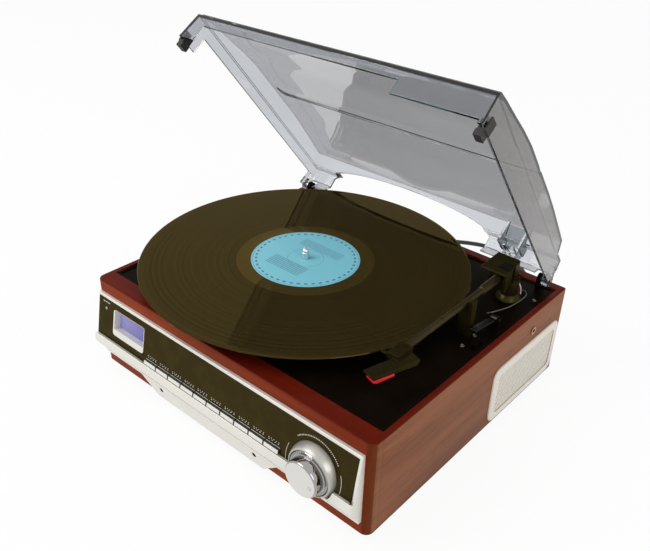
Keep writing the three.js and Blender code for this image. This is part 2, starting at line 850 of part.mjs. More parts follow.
function makeDrive() {
  const bearingTop = platterUnder - spindleCollarHeight - fit - deckSink;
  const bearing = turned([
    [0, deckUnder - bearingDepth],
    [bearingRadius, deckUnder - bearingDepth],
    [bearingRadius, deckUnder - bearingFlangeThickness],
    [bearingFlangeRadius, deckUnder - bearingFlangeThickness],
    [bearingFlangeRadius, deckUnder],
    [bearingRadius, deckUnder],
    [bearingRadius, bearingTop],
    [spindleRadius + fit, bearingTop],
    [spindleRadius + fit, deckUnder - bearingDepth + bearingFloor],
    [0, deckUnder - bearingDepth + bearingFloor],
  ], smallSteps).translate([spindleX, spindleY, 0]);
  add("spindle_bearing", bearing, brass);

  const collarTop = platterUnder - fit;
  const tip = recordTop + spindleRise;
  const spindle = turned([
    [0, deckUnder - bearingDepth + bearingFloor + fit],
    [spindleRadius, deckUnder - bearingDepth + bearingFloor + fit],
    [spindleRadius, collarTop - spindleCollarHeight],
    [spindleCollarRadius, collarTop - spindleCollarHeight],
    [spindleCollarRadius, collarTop],
    [spindleRadius, collarTop],
    [spindleRadius, tip - spindleRadius],
    [spindleRadius * 0.8, tip - spindleRadius * 0.45],
    [spindleRadius * 0.35, tip],
    [0, tip],
  ], smallSteps).translate([spindleX, spindleY, 0]);
  add("spindle", spindle, chrome);

  const bore = spindleRadius + fit;
  const platter = join(
    ring(bore, platterRadius, platterUnder, platterTop, fineSteps),
    ring(
      platterRadius - platterRimWall, platterRadius,
      platterTop - platterRimDepth, platterTop, fineSteps,
    ),
    ring(
      beltRingRadius - beltRingWall, beltRingRadius,
      platterUnder - beltRingDepth, platterTop - platterThickness / 2, fineSteps,
    ),
  ).translate([spindleX, spindleY, 0]);
  add("platter", platter, blackPlastic);
  add("slip_mat", ring(bore, matRadius, matUnder, recordUnder, fineSteps).translate([spindleX, spindleY, 0]), rubber);

  const record = turned([
    [bore, recordUnder],
    [recordRadius - recordEdge, recordUnder],
    [recordRadius, recordUnder + recordThickness / 2],
    [recordRadius - recordEdge, recordTop],
    [recordRadius - 2 * recordEdge, recordTop],
    [recordRadius - 3 * recordEdge, recordTop - grooveSink],
    [deadWaxRadius, recordTop - grooveSink],
    [labelRadius + recordEdge, recordTop],
    [bore, recordTop],
    [bore, recordUnder],
  ], fineSteps).translate([spindleX, spindleY, 0]);
  add("record", record, vinyl);
  add(
    "record_label",
    ring(bore, labelRadius, recordTop, recordTop + labelThickness, fineSteps)
      .translate([spindleX, spindleY, 0]),
    labelPaper,
  );

  const beltLow = platterUnder - beltRingDepth + (beltRingDepth - beltWidth) / 3;
  const pulleyLow = beltLow - (pulleyHeight - beltWidth) / 2;
  const shaftLow = deckUnder - motorLength / 2;
  const motor = cut(
    disc(motorRadius, deckUnder - motorLength, deckUnder, roundSteps),
    disc(motorShaftRadius + fit, shaftLow - fit, deckUnder + overrun, smallSteps),
  ).translate([motorX, motorY, 0]);
  add("motor", motor, steel);
  const pulley = join(
    disc(motorShaftRadius, shaftLow, pulleyLow + pulleyHeight / 2, smallSteps),
    disc(pulleyRadius, pulleyLow, pulleyLow + pulleyHeight, smallSteps),
    disc(pulleyRadius + pulleyFlange, pulleyLow - pulleyFlange, pulleyLow, smallSteps),
    disc(
      pulleyRadius + pulleyFlange,
      pulleyLow + pulleyHeight - pulleyFlange / 2, pulleyLow + pulleyHeight, smallSteps,
    ),
  ).translate([motorX, motorY, 0]);
  add("motor_pulley", pulley, brass);
  makeBelt(beltLow);
}

// The belt wraps the ring under the platter and the pulley, with straight runs between them.
function makeBelt(low) {
  const wrap = (grow) => {
    const large = beltRingRadius + fit + grow;
    const small = pulleyRadius + fit + grow;
    const lean = Math.acos((large - small) / motorDistance);
    const shape = new THREE.Shape();
    shape.absarc(0, 0, large, lean, 2 * Math.PI - lean);
    shape.absarc(motorDistance, 0, small, -lean, lean);
    return shape;
  };
  const turn = radians(motorBearing);
  const loop = alongZ(wrap(beltThickness), low, low + beltWidth, smallSteps);
  const inside = alongZ(wrap(0), low - overrun, low + beltWidth + overrun, smallSteps);
  const belt = cut(loop, inside).rotate([0, 0, THREE.MathUtils.radToDeg(turn)]);
  add("drive_belt", belt.translate([spindleX, spindleY, 0]), rubber);
}

// Silver front. Its slope has a frame of its own: X across, Y up the slope, Z out of it.

const slope = new THREE.Group();
slope.position.set(0, cabinetFront - lipDepth, woodBottom + fasciaTop);
slope.rotation.x = Math.PI / 2 - radians(panelTilt);
player.add(slope);
const toSlope = [90 - panelTilt, 0, 0];

function onSlope(body) {
  return body.rotate(toSlope).translate(slope.position.toArray());
}

// A point down the slope and out of it, as [y, z].
function slopePoint(down, out) {
  const lean = radians(panelTilt);
  return [
    slope.position.y - down * Math.sin(lean) - out * Math.cos(lean),
    slope.position.z - down * Math.cos(lean) + out * Math.sin(lean),
  ];
}

function fasciaProfile() {
  const at = (reach, height) => [cabinetFront - reach, woodBottom + height];
  return [
    at(0, fasciaFoot),
    at(0, fasciaTop),
    at(lipDepth, fasciaTop),
    slopePoint(panelLower, 0),
    at(barTopReach, barTop),
    at(barNoseUpperReach, barNoseUpper),
    at(barNoseLowerReach, barNoseLower),
    at(barUnderReach, barUnder),
    at(skirtUpperReach, skirtUpper),
    at(skirtLowerReach, skirtLower),
    at(skirtFootReach, fasciaFoot),
  ];
}

function hollowProfile() {
  const at = (reach, height) => [cabinetFront - reach, woodBottom + height];
  const inside = -(panelThickness + fit + fasciaWall);
  const [, upperZ] = slopePoint(hollowTop, inside);
  return [
    [cabinetFront + overrun, upperZ],
    slopePoint(hollowTop, inside),
    slopePoint(panelLower - fasciaWall, inside),
    at(barNoseUpperReach - fasciaWall, barNoseUpper - fasciaWall),
    at(barNoseLowerReach - fasciaWall, barNoseLower),
    at(barUnderReach - fasciaWall, barUnder + fasciaWall),
    at(skirtUpperReach - fasciaWall, skirtUpper + fasciaWall),
    at(-overrun, skirtUpper + fasciaWall),
  ];
}

function makeBulge() {
  const at = (reach, height) => [cabinetFront - reach, woodBottom + height];
  const side = outline([
    at(0, bulgeBottom),
    at(0, bulgeTop),
    at(bulgeUpperReach, bulgeTop),
    at((bulgeUpperReach + bulgeLowerReach) / 2, (bulgeTop + bulgeBottom) / 2),
    at(bulgeLowerReach, bulgeBottom),
  ]);
  const half = bulgeTopWidth / 2;
  const lowHalf = bulgeBottomWidth / 2;
  const face = outline([
    [bulgeCentre - lowHalf, woodBottom + bulgeBottom - overrun],
    [bulgeCentre + lowHalf, woodBottom + bulgeBottom - overrun],
    [bulgeCentre + half, woodBottom + bulgeTop + overrun],
    [bulgeCentre - half, woodBottom + bulgeTop + overrun],
  ]);
  return alongX(side, bulgeCentre - half, bulgeCentre + half).intersect(
    alongY(face, cabinetFront - bulgeUpperReach - overrun, cabinetFront + overrun),
  );
}

const keyBossPlaces = [-1, 1].map(
  (side) => keyRowLeft + (keyCount * keyPitch) / 2 + side * ((keyCount * keyPitch) / 2 + keyBoardMargin / 2),
);
const keyBoardTop = -(panelThickness + fit + fasciaWall + keyStemLength);

function makeFascia() {
  const halfWidth = fasciaHalf;
  const body = join(alongX(outline(fasciaProfile()), -halfWidth, halfWidth), makeBulge());
  const hollow = alongX(
    outline(hollowProfile()), -halfWidth + fasciaEndWall, halfWidth - fasciaEndWall,
  );
  const floor = -(panelThickness + fit);
  const panelPocket = onSlope(
    block(-halfWidth - overrun, panelRight + fit, -panelLower - fit, -panelUpper + fit, floor, overrun),
  );
  const displayWindow = onSlope(
    block(
      displayLeft, displayRight, -displayLower, -displayUpper,
      -displayDepth - 2 * screenThickness - overrun, overrun,
    ),
  );
  const screenRoom = onSlope(
    block(
      screenLeft - 2 * overrun, screenRight + 2 * overrun, -screenLower - 2 * overrun,
      -screenUpper + 2 * overrun, -displayDepth - 4 * screenThickness, -displayDepth,
    ),
  );
  const keyRowRight = keyRowLeft + keyCount * keyPitch;
  const keySlot = onSlope(
    block(
      keyRowLeft, keyRowRight, -keyUpper - keyHeight - fit, -keyUpper + fit,
      floor - 2 * fasciaWall, overrun,
    ),
  );
  const ledHole = onSlope(
    disc(ledRadius + fit, -ledLength - overrun, overrun, smallSteps).translate([ledX, -ledDown, 0]),
  );
  const knobZ = woodBottom + knobHeight;
  const dialPocket = facing(
    "front",
    disc(collarRadius + fit, -cabinetFront + dialPocketReach, -cabinetFront + knobReach, roundSteps),
    knobX, 0, knobZ,
  );
  const dialBack = facing(
    "front",
    disc(
      collarRadius + fasciaWall,
      -cabinetFront + dialPocketReach - fasciaWall, -cabinetFront + barUnderReach, roundSteps,
    ),
    knobX, 0, knobZ,
  ).intersect(alongX(outline(fasciaProfile()), 0, halfWidth));
  const shaftHole = facing(
    "front",
    disc(knobShaftRadius + fit, -cabinetFront - overrun, -cabinetFront + knobReach, smallSteps),
    knobX, 0, knobZ,
  );
  const bosses = keyBossPlaces.map((x) =>
    onSlope(
      disc(keyBossRadius, keyBoardTop + fit, floor - fasciaWall / 2, smallSteps)
        .translate([x, -keyUpper - keyHeight / 2, 0]),
    ),
  );
  const sockets = [-1, 1].map((side) =>
    facing(
      "front",
      disc(
        socketHoleRadius,
        -cabinetFront + bulgeUpperReach - socketHoleDepth, -cabinetFront + bulgeUpperReach + overrun,
        smallSteps,
      ),
      bulgeCentre + (side * socketHoleSpacing) / 2, 0, woodBottom + socketHoleHeight,
    ),
  );
  const shell = join(cut(body, hollow), dialBack, ...bosses);
  add(
    "front_fascia",
    cut(shell, panelPocket, displayWindow, screenRoom, keySlot, ledHole, dialPocket, shaftHole, ...sockets),
    silverPaint,
  );
}

function makePanel() {
  const low = -(panelThickness + fit) + fit;
  const plate = block(
    panelLeft, panelRight, -panelLower, -panelUpper, low - fit + fit, -fit / 2,
  );
  const display = block(
    displayLeft, displayRight, -displayLower, -displayUpper, low - overrun, overrun,
  );
  const keySlot = block(
    keyRowLeft, keyRowLeft + keyCount * keyPitch,
    -panelLower - overrun, -keyUpper + fit, low - overrun, overrun,
  );
  const ledHole = disc(ledRadius + fit, low - overrun, overrun, smallSteps).translate([ledX, -ledDown, 0]);
  const dial = facing(
    "front",
    disc(collarRadius + fit, -cabinetFront - overrun, -cabinetFront + knobReach, roundSteps),
    knobX, 0, woodBottom + knobHeight,
  );
  const back = new THREE.Vector3().copy(slope.position).negate().toArray();
  const dialOnSlope = dial.translate(back).rotate([-toSlope[0], 0, 0]);
  add("control_panel", cut(plate, display, keySlot, ledHole, dialOnSlope), glossBlack, slope);

  const led = turned([
    [0, -ledLength], [ledRadius, -ledLength], [ledRadius, 0], [ledRadius / 2, ledRise], [0, ledRise],
  ], smallSteps).translate([ledX, -ledDown, 0]);
  add("power_led", led, greenLed, slope);
}

function makeDisplay() {
  const outer = alongZ(
    roundedRectangle(
      displayLeft + fit, displayRight - fit, -displayLower + fit, -displayUpper - fit,
      displayCornerRadius,
    ),
    -displayDepth, 0,
  );
  const throat = taperedBlock(
    [screenLeft, screenRight, -screenLower, -screenUpper],
    [
      displayLeft + fit + displayRim, displayRight - fit - displayRim,
      -displayLower + fit + displayRim, -displayUpper - fit - displayRim,
    ],
    -displayDepth - fit, fit,
  );
  add("display_bezel", cut(outer, throat), silverPaint, slope);
  const screen = block(
    screenLeft - overrun, screenRight + overrun, -screenLower - overrun, -screenUpper + overrun,
    -displayDepth - fit - screenThickness, -displayDepth - fit,
  );
  add("display_screen", screen, screenBlue, slope);
}

function makeKeys() {
  const width = keyPitch - keyGap;
  const capLow = keyRise - keyThickness;
  for (let number = 1; number <= keyCount; number++) {
    const left = keyRowLeft + (number - 1) * keyPitch + keyGap / 2;
    const middle = left + width / 2;
    const cap = taperedBlock(
      [left, left + width, -keyUpper - keyHeight, -keyUpper],
      [left + fit, left + width - fit, -keyUpper - keyHeight + fit, -keyUpper - 2 * fit],
      capLow, keyRise,
    );
    const stem = block(
      middle - keyStemWidth / 2, middle + keyStemWidth / 2,
      -keyUpper - (keyHeight + keyStemHeight) / 2, -keyUpper - (keyHeight - keyStemHeight) / 2,
      keyBoardTop + keyTravel + fit, capLow + keyThickness / 2,
    );
    add("key_" + number, join(cap, stem), silverPaint, slope);
  }
  const rowMiddle = -keyUpper - keyHeight / 2;
  const board = block(
    keyRowLeft - keyBoardMargin, keyRowLeft + keyCount * keyPitch + keyBoardMargin,
    rowMiddle - keyBoardHeight / 2, rowMiddle + keyBoardHeight / 2,
    keyBoardTop - keyBoardThickness, keyBoardTop,
  );
  add("key_board", board, circuitBoard, slope);
}

function makeDial() {
  const knobZ = woodBottom + knobHeight;
  const face = -cabinetFront;
  const pocket = face + dialPocketReach + fit;
  const collar = turned([
    [collarBore, pocket],
    [collarRadius, pocket],
    [collarRadius, face + collarReach - collarRound],
    [collarRadius - collarRound * 0.25, face + collarReach - collarRound * 0.4],
    [collarRadius - collarRound * 0.7, face + collarReach - collarRound * 0.07],
    [collarBore, face + collarReach],
    [collarBore, pocket],
  ]);
  add("dial_collar", facing("front", collar, knobX, 0, knobZ), silverPaint);

  const skirtBack = face + knobSkirtReach - knobSkirtThickness;
  const knob = turned([
    [0, skirtBack],
    [knobSkirtRadius, skirtBack],
    [knobSkirtRadius, face + knobSkirtReach],
    [knobRadius, face + knobSkirtReach],
    [knobRadius, face + knobReach - knobEdgeRound],
    [knobRadius - knobEdgeRound, face + knobReach],
    [0, face + knobReach],
  ]);
  const socket = disc(
    knobShaftRadius + fit, skirtBack - overrun, skirtBack + knobSocketDepth, smallSteps,
  );
  add("volume_knob", facing("front", cut(knob, socket), knobX, 0, knobZ), chrome);

  const shaftTip = skirtBack + knobSocketDepth - fit;
  const encoderFront = face + dialPocketReach - fasciaWall - fit;
  const shaftTail = encoderFront - encoderDepth * shaftEngagementShare;
  add(
    "volume_shaft",
    facing("front", disc(knobShaftRadius, shaftTail, shaftTip, smallSteps), knobX, 0, knobZ),
    steel,
  );
  const half = encoderSize / 2;
  const encoder = cut(
    block(
      knobX - half, knobX + half, -encoderFront, -encoderFront + encoderDepth, knobZ - half, knobZ + half,
    ),
    facing(
      "front",
      disc(
        knobShaftRadius + fit, encoderFront - encoderDepth - overrun, encoderFront + overrun, smallSteps,
      ),
      knobX, 0, knobZ,
    ),
  );
  add("volume_encoder", encoder, steel);
}

// Side grilles, loudspeakers and the side socket

function makeSides() {
  const low = woodBottom + grilleLow;
  const middle = low + grilleHeight / 2;
  const front = grilleCentreY - grilleLength / 2;
  const rear = grilleCentreY + grilleLength / 2;
  const plate = alongX(
    roundedRectangle(front, rear, low, low + grilleHeight, grilleCorner), 0, grilleRise,
  );
  const dish = alongX(
    roundedRectangle(
      front + grilleFrame, rear - grilleFrame, low + grilleFrame, low + grilleHeight - grilleFrame,
      grilleCorner - grilleFrame / 2,
    ),
    grilleFloor, grilleRise + overrun,
  );
  const slotPitch = (grilleHeight - 2 * grilleFrame) / (grilleSlots + 1);
  const slots = [];
  for (let row = 1; row <= grilleSlots; row++) {
    const height = low + grilleFrame + row * slotPitch;
    slots.push(
      block(
        -overrun, grilleRise + overrun,
        front + 2 * grilleFrame, rear - 2 * grilleFrame,
        height - grilleSlotHeight / 2, height + grilleSlotHeight / 2,
      ),
    );
  }
  const grille = cut(plate, dish, ...slots);
  add("grille_right", grille.translate([cabinetSide, 0, 0]), whitePlastic);
  add("grille_left", grille.mirror([1, 0, 0]).translate([-cabinetSide, 0, 0]), whitePlastic);

  const inner = cabinetSide - sideWall - fit;
  const speaker = turned([
    [0, -speakerDepth - magnetDepth],
    [magnetRadius, -speakerDepth - magnetDepth],
    [magnetRadius, -speakerDepth],
    [speakerRadius - speakerFlange, -speakerFlange],
    [speakerRadius, -speakerFlange],
    [speakerRadius, 0],
    [speakerHoleRadius - speakerFlange, 0],
    [magnetRadius / 2, -speakerDepth / 2],
    [0, -speakerDepth / 2],
  ]);
  add("speaker_right", facing("right", speaker, inner, grilleCentreY, middle), blackPlastic);
  add("speaker_left", facing("left", speaker, -inner, grilleCentreY, middle), blackPlastic);

  const socket = turned([
    [sideSocketBore, cabinetSide - sideWall],
    [sideSocketRadius, cabinetSide - sideWall],
    [sideSocketRadius, cabinetSide + fit],
    [sideSocketFlange, cabinetSide + fit],
    [sideSocketFlange, cabinetSide + fit + sideSocketRise],
    [sideSocketBore, cabinetSide + fit + sideSocketRise],
    [sideSocketBore, cabinetSide - sideWall],
  ], smallSteps);
  add(
    "side_socket",
    facing("right", socket, 0, sideSocketY, woodBottom + sideSocketHeight),
    brass,
  );
}

// The head, turned inwards under a straight neck, with the stylus at its right side.
function makeHead(end) {
  const neckTop = end.z + armTubeRadius;
  const neckLeft = end.x - neckWidth / 2;
  const neckFront = end.y - neckLength;
  const neck = block(neckLeft, neckLeft + neckWidth, neckFront, end.y, neckTop - neckHeight, neckTop);
  const fingerTop = neckTop - neckHeight / 3;
  const finger = block(
    neckLeft - fingerLength, neckLeft + overrun, neckFront, neckFront + fingerWidth,
    fingerTop - fingerThickness, fingerTop,
  );

  const plateTop = neckTop - headStep;
  const frontTop = plateTop - headDrop;
  const plateUnder = frontTop - headThickness;
  const half = headWidth / 2;
  const plate = alongX(outline([
    [0, plateTop - headThickness],
    [0, plateTop],
    [-headLength, frontTop],
    [-headLength, frontTop - headThickness / 2],
    [-headLength + headThickness / 2, plateUnder],
  ]), -half, half);
  const skirt = block(
    -half, half, -headSkirtLength, -cartridgeInset,
    plateTop - headThickness - headSkirtDepth, plateTop - headThickness + fit,
  );
  const cartridge = block(
    -cartridgeWidth / 2, cartridgeWidth / 2, -headLength + cartridgeInset, -headSkirtLength + overrun,
    recordTop + cartridgeClearance, plateUnder + headThickness / 2,
  );

  const stylusLow = recordTop + stylusClearance;
  const stylusTop = stylusLow + stylusHeight;
  const stylusFront = -headLength + stylusInset;
  const stylusRear = stylusFront + stylusLength;
  const pocket = block(
    half - stylusWidth - fit, half + overrun, -headLength - overrun, stylusRear + fit,
    stylusLow - overrun, stylusTop + fit,
  );
  const stylus = alongX(outline([
    [stylusFront, stylusTop],
    [stylusFront, stylusTop - stylusHeight / 2],
    [stylusFront + stylusLength / 5, stylusLow],
    [stylusRear, stylusLow + stylusHeight / 3],
    [stylusRear, stylusTop],
  ]), half - stylusWidth, half);

  const set = (body) =>
    body.rotate([0, 0, -headTurn]).translate([end.x + headSideShift, end.y - headSetback, 0]);
  const head = set(cut(join(plate, skirt, cartridge), pocket));
  add("headshell", join(neck, finger, head), blackPlastic);
  add("stylus", set(stylus), redPlastic);
}

// Tonearm: base, hood that swings on it, tube and head that tilt in the hood

function makeTonearm() {
  const pinTop = deckTop + armBaseHeight + armPinHeight;
  const base = turned([
    [0, deckUnder - armPegDepth],
    [armPegRadius, deckUnder - armPegDepth],
    [armPegRadius, deckTop],
    [armFlangeRadius, deckTop],
    [armFlangeRadius, deckTop + armFlangeHeight],
    [armBaseRadius, deckTop + armFlangeHeight],
    [armBaseRadius, deckTop + armBaseHeight],
    [armPinRadius, deckTop + armBaseHeight],
    [armPinRadius, pinTop],
    [0, pinTop],
  ], roundSteps).translate([pivotX, pivotY, 0]);
  add("tonearm_base", base, blackPlastic);

  const low = woodBottom + hoodLow;
  const high = woodBottom + hoodHigh;
  const column = disc(columnRadius, deckTop + armBaseHeight + fit, low + fit, roundSteps)
    .translate([pivotX, pivotY, 0]);
  const plan = (inset) => outline([
    [pivotX - hoodFrontLeftReach + inset, pivotY - hoodFrontReach + inset],
    [pivotX + hoodFrontRightReach - inset, pivotY - hoodFrontReach + inset],
    [pivotX + hoodRearRightReach - inset, pivotY + hoodRearReach - inset],
    [pivotX - hoodRearLeftReach + inset, pivotY + hoodRearReach - inset],
  ]);
  const hood = join(
    alongZ(plan(0), low, high - hoodTaper),
    alongZ(plan(hoodTaper), low, high),
  );
  const bore = disc(armPinRadius + fit, deckTop, pinTop + fit, smallSteps).translate([pivotX, pivotY, 0]);
  const room = block(
    pivotX - hoodRearLeftReach - overrun, pivotX + hoodFrontRightReach - hoodWallThickness,
    pivotY - hoodFrontReach - overrun, pivotY - hoodRoomReach,
    low - overrun, high - hoodCapThickness,
  );
  add("tonearm_hood", cut(join(column, hood), room, bore), blackPlastic);

  const rear = new THREE.Vector3(
    pivotX - armRearOffset, pivotY - armRearReach, woodBottom + armRearHeight,
  );
  const front = new THREE.Vector3(
    pivotX - armHeadOffset, pivotY - armHeadReach, woodBottom + armHeadHeight,
  );
  const way = front.clone().sub(rear);
  const length = way.length();
  const aim = (body) => {
    const spin = new THREE.Quaternion().setFromUnitVectors(
      new THREE.Vector3(0, 0, 1), way.clone().normalize(),
    );
    const turn = new THREE.Matrix4().compose(rear, spin, new THREE.Vector3(1, 1, 1));
    return body.transform(turn.toArray());
  };
  const tube = turned([
    [0, 0],
    [armSleeveRadius, 0],
    [armSleeveRadius, armSleeveLength],
    [armTubeRadius, armSleeveLength + armSleeveRadius - armTubeRadius],
    [armTubeRadius, length - fit],
    [0, length - fit],
  ], smallSteps);
  add("tonearm_tube", aim(tube), blackPlastic);

  makeHead(front);

  const along = (rear.y - restY) / (rear.y - front.y);
  const tubeLow = rear.z + (front.z - rear.z) * along - armTubeRadius;
  const shelf = tubeLow - 3 * fit;
  const rest = join(
    block(restX - restWidth / 2, restX + restWidth / 2, restY - restDepth / 2, restY + restDepth / 2, deckTop, shelf),
    block(
      restX + restWidth / 2 - fit, restX + restWidth / 2 + restWallThickness,
      restY - restDepth / 2, restY + restDepth / 2, deckTop, shelf + restWallRise,
    ),
    block(
      restX - restWidth, restX + restWidth / 2,
      restY - restDepth / 2, restY + restDepth / 2,
      shelf - restWallThickness, shelf,
    ),
  );
  add("arm_rest", rest, blackPlastic);
}

// Two ears on the deck that carry the cue lever's pin.
function cueEars() {
  const axisZ = deckTop + cueHeight;
  const reach = cueHubLength / 2 + fit;
  return [cueX - reach - cuePostThickness, cueX + reach].map((left) =>
    cut(
      join(
        block(
          left, left + cuePostThickness, cueY - cueHubRadius, cueY + cueHubRadius,
          deckTop - deckThickness / 2, axisZ,
        ),
        facing("right", disc(cueHubRadius, left, left + cuePostThickness, smallSteps), 0, cueY, axisZ),
      ),
      facing(
        "right",
        disc(cuePinRadius + fit, left - overrun, left + cuePostThickness + overrun, smallSteps),
        0, cueY, axisZ,
      ),
    ),
  );
}

function makeDeckControls() {
  const axisZ = deckTop + cueHeight;
  const half = cueHubLength / 2;
  const earLeft = cueX - half - fit - cuePostThickness;
  const earRight = cueX + half + fit;
  const pin = facing(
    "right", disc(cuePinRadius, earLeft + fit, earRight + cuePostThickness, smallSteps), 0, cueY, axisZ,
  );
  const hub = facing("right", disc(cueHubRadius, cueX - half, cueX + half, smallSteps), 0, cueY, axisZ);
  const arm = outline([
    [cueY, axisZ - cueLeverThickness / 2],
    [cueY, axisZ + cueLeverThickness / 2],
    [cueY - cueLeverLength, axisZ + cueLeverThickness / 2 + cueLeverRise],
    [cueY - cueLeverLength - cueLeverRise, axisZ + cueLeverThickness / 2 + cueLeverRise],
    [cueY - cueLeverLength - cueLeverRise, axisZ - cueLeverThickness / 2 + cueLeverRise],
    [cueY - cueLeverLength, axisZ - cueLeverThickness / 2 + cueLeverRise],
  ]);
  add("cue_lever", join(pin, hub, alongX(arm, cueX - half, cueX + half)), steel);

  const start = switchY - switchTravel / 2;
  const button = join(
    block(
      switchX - switchWidth / 2, switchX + switchWidth / 2,
      start - switchWidth / 2, start + switchWidth / 2,
      deckTop + fit, deckTop + switchHeight,
    ),
    block(
      switchX - switchSlotWidth / 2 + fit, switchX + switchSlotWidth / 2 - fit,
      start - switchWidth / 2, start + switchWidth / 2,
      deckUnder - switchHeight, deckTop + switchHeight / 2,
    ),
  );
  add("speed_switch", button, blackPlastic);
}

// Lid: built closed about its hinge axis, then turned open

const lidGroup = new THREE.Group();
lidGroup.position.set(0, hingeY, hingeZ);
lidGroup.rotation.x = -radians(lidAngle);
player.add(lidGroup);

// The lid's side outline, [back, up] pairs, with the walls drawn in by an inset.
function lidOutline(inset) {
  const roof = (back, up) => [back, up - inset];
  const open = inset > 0 ? -overrun : 0;
  const crown = lidCrownHeight;
  const rise = crown - lidFrontHeight;
  const frontTop = lidFrontDraft + lidCrease + inset;
  const frontRoof = [
    [0.02, 0.04], [0.07, 0.21], [0.165, 0.47], [0.25, 0.72], [0.34, 0.9],
  ];
  const riseShares = frontRoof.map(([backShare, upShare]) =>
    roof(backShare * lidLength, lidFrontHeight + upShare * rise));
  const fall = crown - lidRearHeight;
  const rearRoof = [[0.63, 0], [0.715, 0.08], [0.79, 0.36], [0.87, 0.68]];
  const fallShares = rearRoof.map(([backShare, downShare]) =>
    roof(backShare * lidLength, crown - downShare * fall));
  return [
    [inset, open],
    [lidFrontDraft + inset, lidSkirt - inset],
    [frontTop, lidSkirt - inset],
    ...riseShares.filter(([back]) => back > frontTop),
    ...fallShares,
    [lidRearTop - inset, lidRearHeight - inset],
    [lidRearWallFoot - inset, lidSkirt - inset / 2],
    [lidRearWallFoot - inset, lidSkirt - inset],
    [lidRearSkirtTop - inset, lidSkirt - inset],
    [lidLength - inset, lidRearChamfer + inset / 2],
    [lidRearFoot - inset, open],
  ];
}

// The lid's front outline, [across, up] pairs.
function lidSection(inset) {
  const open = inset > 0 ? -overrun : 0;
  const skirtTop = lidHalfWidth - lidSideDraft - inset;
  const upperFoot = skirtTop - lidCrease;
  const upperTop = upperFoot - lidUpperDraft;
  const half = [
    [lidHalfWidth - inset, open],
    [skirtTop, lidSkirt - inset],
    [upperFoot, lidSkirt - inset],
    [upperTop, lidCrownHeight + overrun],
  ];
  const other = half.map(([across, up]) => [-across, up]).reverse();
  return [...half, ...other];
}

// The sloping recess across the roof, with a round corner where it ends on the left.
function lidRecess(inset) {
  const left = -lidHalfWidth + lidRecessInset - inset;
  const right = lidHalfWidth + overrun;
  const end = lidRecessEnd + inset;
  const top = lidCrownHeight - inset;
  const slope = alongX(outline([
    [lidRecessStart, top],
    [end, top - lidRecessDepth],
    [end, top + 2 * lidWall],
    [lidRecessStart, top + 2 * lidWall],
  ]), left, right);
  const plan = new THREE.Shape();
  plan.moveTo(left, lidRecessStart - overrun);
  plan.lineTo(right, lidRecessStart - overrun);
  plan.lineTo(right, end);
  plan.lineTo(left + lidRecessCorner, end);
  plan.absarc(left + lidRecessCorner, end - lidRecessCorner, lidRecessCorner, Math.PI / 2, Math.PI);
  plan.closePath();
  return slope.intersect(alongZ(plan, top - 2 * lidWall, top + 3 * lidWall));
}

function lidForm(inset) {
  const side = alongX(outline(lidOutline(inset)), -lidHalfWidth - overrun, lidHalfWidth + overrun);
  const across = alongY(outline(lidSection(inset)), -overrun, lidLength + overrun);
  return cut(side.intersect(across), lidRecess(inset));
}

function lidCuts() {
  const under = -2 * overrun;
  const outside = lidHalfWidth + overrun;
  const thick = 4 * lidWall;
  const leftSide = block(
    -outside, -lidHalfWidth + thick, lidLegLength, lidSideCutEnd, under, lidCutHeight,
  );
  const frontHigh = block(
    -lidHalfWidth + lidLegWidth, lidFrontCutEnd, -overrun, thick, under, lidCutHeight + fit,
  );
  const frontLow = block(
    lidFrontCutEnd - overrun, lidFrontCutStop, -overrun, lidWall + overrun, under, lidFrontLowCut,
  );
  const arch = new THREE.Shape();
  arch.moveTo(archLeft, under);
  arch.lineTo(archRight, under);
  arch.lineTo(archRight, archSpring);
  const middle = (archLeft + archRight) / 2;
  arch.absellipse(middle, archSpring, (archRight - archLeft) / 2, archCrown - archSpring, 0, Math.PI);
  const rearArch = alongY(arch, lidRearWallFoot - 3 * lidWall, lidLength + overrun, 4 * arcSteps);
  const rearFoot = (left, right, up) =>
    block(left, right, lidRearWallFoot - 3 * lidWall, lidLength + overrun, under, up);
  const rearRight = rearFoot(archRight - overrun, lugInner, archRearCut);
  const postRoom = hingeUp + postRadius + lidWall;
  const posts = [
    rearFoot(lugInner - postWidth - 2 * lidWall, lugInner, postRoom),
    rearFoot(-lugInner, -lugInner + postWidth + 2 * lidWall, postRoom),
  ];
  const earReach = hingeEarGap / 2 + hingeEarThickness + 2 * fit;
  const ears = rearFoot(hingeX - earReach, hingeX + earReach, hingeUp + hingeEarRadius + lidWall);
  return [leftSide, frontHigh, frontLow, rearArch, rearRight, ...posts, ears];
}

function lidLug(side) {
  const outer = lugInner + lugThickness;
  const lug = facing(side > 0 ? "right" : "left", disc(lugRadius, lugInner, outer, smallSteps), 0, hingeBack, hingeUp);
  const inner = side > 0 ? lugInner : -outer;
  const web = block(
    inner, inner + lugThickness,
    hingeBack - lugRadius, hingeBack, hingeUp, hingeUp + 2 * lugRadius,
  );
  return join(lug, web);
}

function lidRib(left) {
  return block(
    left, left + ribThickness, ribStart, lidLength, lidCutHeight, lidCrownHeight,
  ).intersect(lidForm(lidWall / 2));
}

function onLid(body) {
  return body.translate([0, -hingeBack, -hingeUp]);
}

